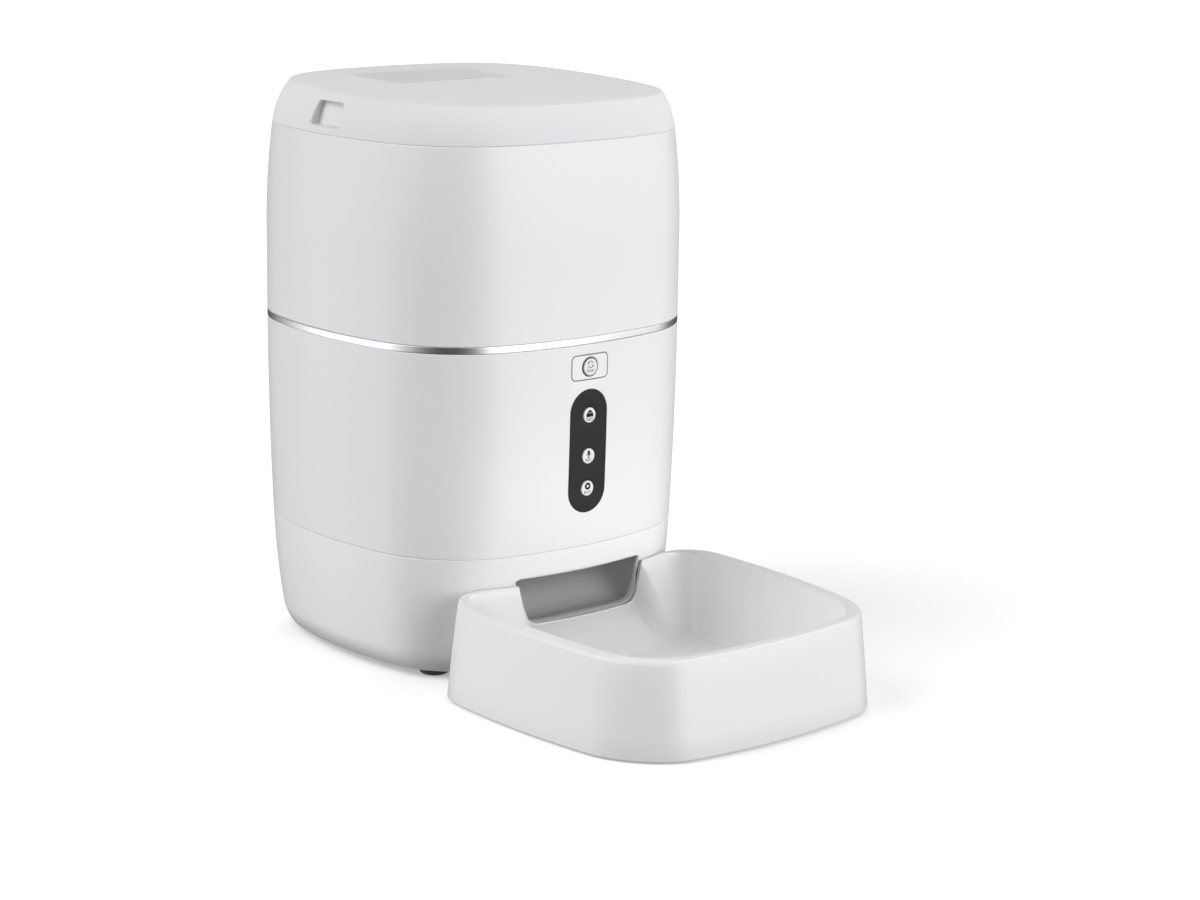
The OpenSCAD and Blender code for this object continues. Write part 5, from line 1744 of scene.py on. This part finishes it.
def dress_frame() -> None:
    """Give every node of the frame the finish of its slot."""
    for part in frame["record"]["subparts"]:
        node = frame["nodes"][part["node"]]
        finish = SLOT_FINISHES[Slot(part["material_slot"])]
        node.data.materials.clear()
        node.data.materials.append(PALETTE.get(finish))
        LOG.info("%s takes %s", part["node"], finish)


def towards(azimuth: float, elevation: float) -> Colour:
    """Unit vector from the part to a place at these angles in degrees, with azimuth 0 in front."""
    a, e = math.radians(azimuth), math.radians(elevation)
    return math.sin(a) * math.cos(e), -math.cos(a) * math.cos(e), math.sin(e)


@dataclass(frozen=True)
class SoftBox:
    """One broad soft light of the studio, as a patch of the sky round the part."""

    azimuth: float
    elevation: float
    spread: float
    strength: float


@dataclass(frozen=True)
class Studio:
    """Pale floor, soft light all round, and the camera."""

    backdrop: float = 1.0
    floor_glow: float = 0.3
    floor_tone: float = 0.9
    floor_half: float = 30.0
    floor_z: float = -5e-5
    boxes: tuple[SoftBox, ...] = (
        SoftBox(15.0, 12.0, 40.0, 4.0),
        SoftBox(-120.0, 46.0, 30.0, 4.25),
        SoftBox(-92.0, 14.0, 32.0, 1.7),
        SoftBox(120.0, 46.0, 30.0, 2.4),
        SoftBox(-130.0, -18.0, 38.0, 1.8),
        SoftBox(62.0, 6.0, 32.0, 1.5),
    )
    target: Colour = (17.278, -92.369, 118.865)
    azimuth: float = -40.5
    elevation: float = 13.162
    distance: float = 1544.684
    roll: float = 0.959
    focal_px: float = 2817.406
    image_w: float = 1200.0
    sensor: float = 36.0
    clip: tuple[float, float] = (0.05, 100.0)

    def build(self) -> None:
        """Make the light, the floor and the camera."""
        self.light()
        self.floor()
        self.camera()

    def light(self) -> None:
        """Sky that is dark apart from a smooth patch for each soft box, and plain white where it shows."""
        world = bpy.data.worlds.new("studio")
        world.use_nodes = True
        graph = Graph(world.node_tree)
        way = graph.node("ShaderNodeTexCoord").outputs["Generated"]
        level: Signal | float = 0.0
        for box in self.boxes:
            facing = graph.node("ShaderNodeVectorMath", {"operation": "DOT_PRODUCT"},
                                {0: way, 1: towards(box.azimuth, box.elevation)})
            patch = graph.node("ShaderNodeMapRange", {"interpolation_type": "SMOOTHSTEP"}, {
                "Value": facing.outputs["Value"], "From Min": math.cos(math.radians(box.spread)),
                "From Max": 1.0, "To Min": 0.0, "To Max": box.strength})
            level = level + Signal(graph, patch.outputs["Result"])
        seen = Signal(graph, graph.node("ShaderNodeLightPath").outputs["Is Camera Ray"])
        shown = level + seen * (self.backdrop - level)
        sky = graph.node("ShaderNodeBackground", {}, {"Color": (1.0, 1.0, 1.0, 1.0), "Strength": shown})
        graph.node("ShaderNodeOutputWorld", {}, {"Surface": sky.outputs[0]})
        scene = bpy.context.scene
        scene.world = world
        scene.view_settings.view_transform = "Standard"
        scene.view_settings.look = "None"

    def floor(self) -> None:
        """Wide pale floor just under the feet, which takes shadows and throws no light back."""
        mesh = bpy.data.meshes.new("floor")
        corners = [(x * self.floor_half, y * self.floor_half, self.floor_z) for x, y in
                   ((-1, -1), (1, -1), (1, 1), (-1, 1))]
        mesh.from_pydata(corners, [], [(0, 1, 2, 3)])
        material = bpy.data.materials.new("floor_white")
        material.use_nodes = True
        Graph(material.node_tree).surface({
            "Base Color": (self.floor_tone, self.floor_tone, self.floor_tone, 1.0), "Roughness": 0.9,
            "Specular IOR Level": 0.0, "Emission Color": (1.0, 1.0, 1.0, 1.0),
            "Emission Strength": self.floor_glow})
        mesh.materials.append(material)
        plane = bpy.data.objects.new("floor", mesh)
        plane.visible_glossy = plane.visible_diffuse = plane.visible_shadow = False
        bpy.context.scene.collection.objects.link(plane)

    def camera(self) -> None:
        """Camera at the photograph's angle, with its slight roll."""
        roll = math.radians(self.roll)
        back = Vector(towards(self.azimuth, self.elevation))
        right = (-back).cross(Vector((0.0, 0.0, 1.0))).normalized()
        up = right.cross(-back)
        across = math.cos(roll) * right + math.sin(roll) * up
        upward = -math.sin(roll) * right + math.cos(roll) * up
        where = (Vector(self.target) + Vector((0.0, AXIS_Y, 0.0)) + back * self.distance) * MM
        data = bpy.data.cameras.new("camera")
        data.sensor_width = self.sensor
        data.lens = self.focal_px / self.image_w * self.sensor
        data.clip_start, data.clip_end = self.clip
        camera = bpy.data.objects.new("camera", data)
        axes = (across, upward, back, where)
        camera.matrix_world = Matrix([*zip(*axes), (0.0, 0.0, 0.0, 1.0)])
        bpy.context.scene.collection.objects.link(camera)
        bpy.context.scene.camera = camera


def main() -> None:
    """Build the studio, dress the frame and make the pieces in order."""
    logging.basicConfig(level=logging.INFO, format="%(name)s: %(message)s")
    Studio().build()
    dress_frame()
    for assembly in (Shells(), BaseWall(), Chute(), Lid(), ControlPanel(), Bowl()):
        assembly.build()


if __name__ == "__main__":
    main()
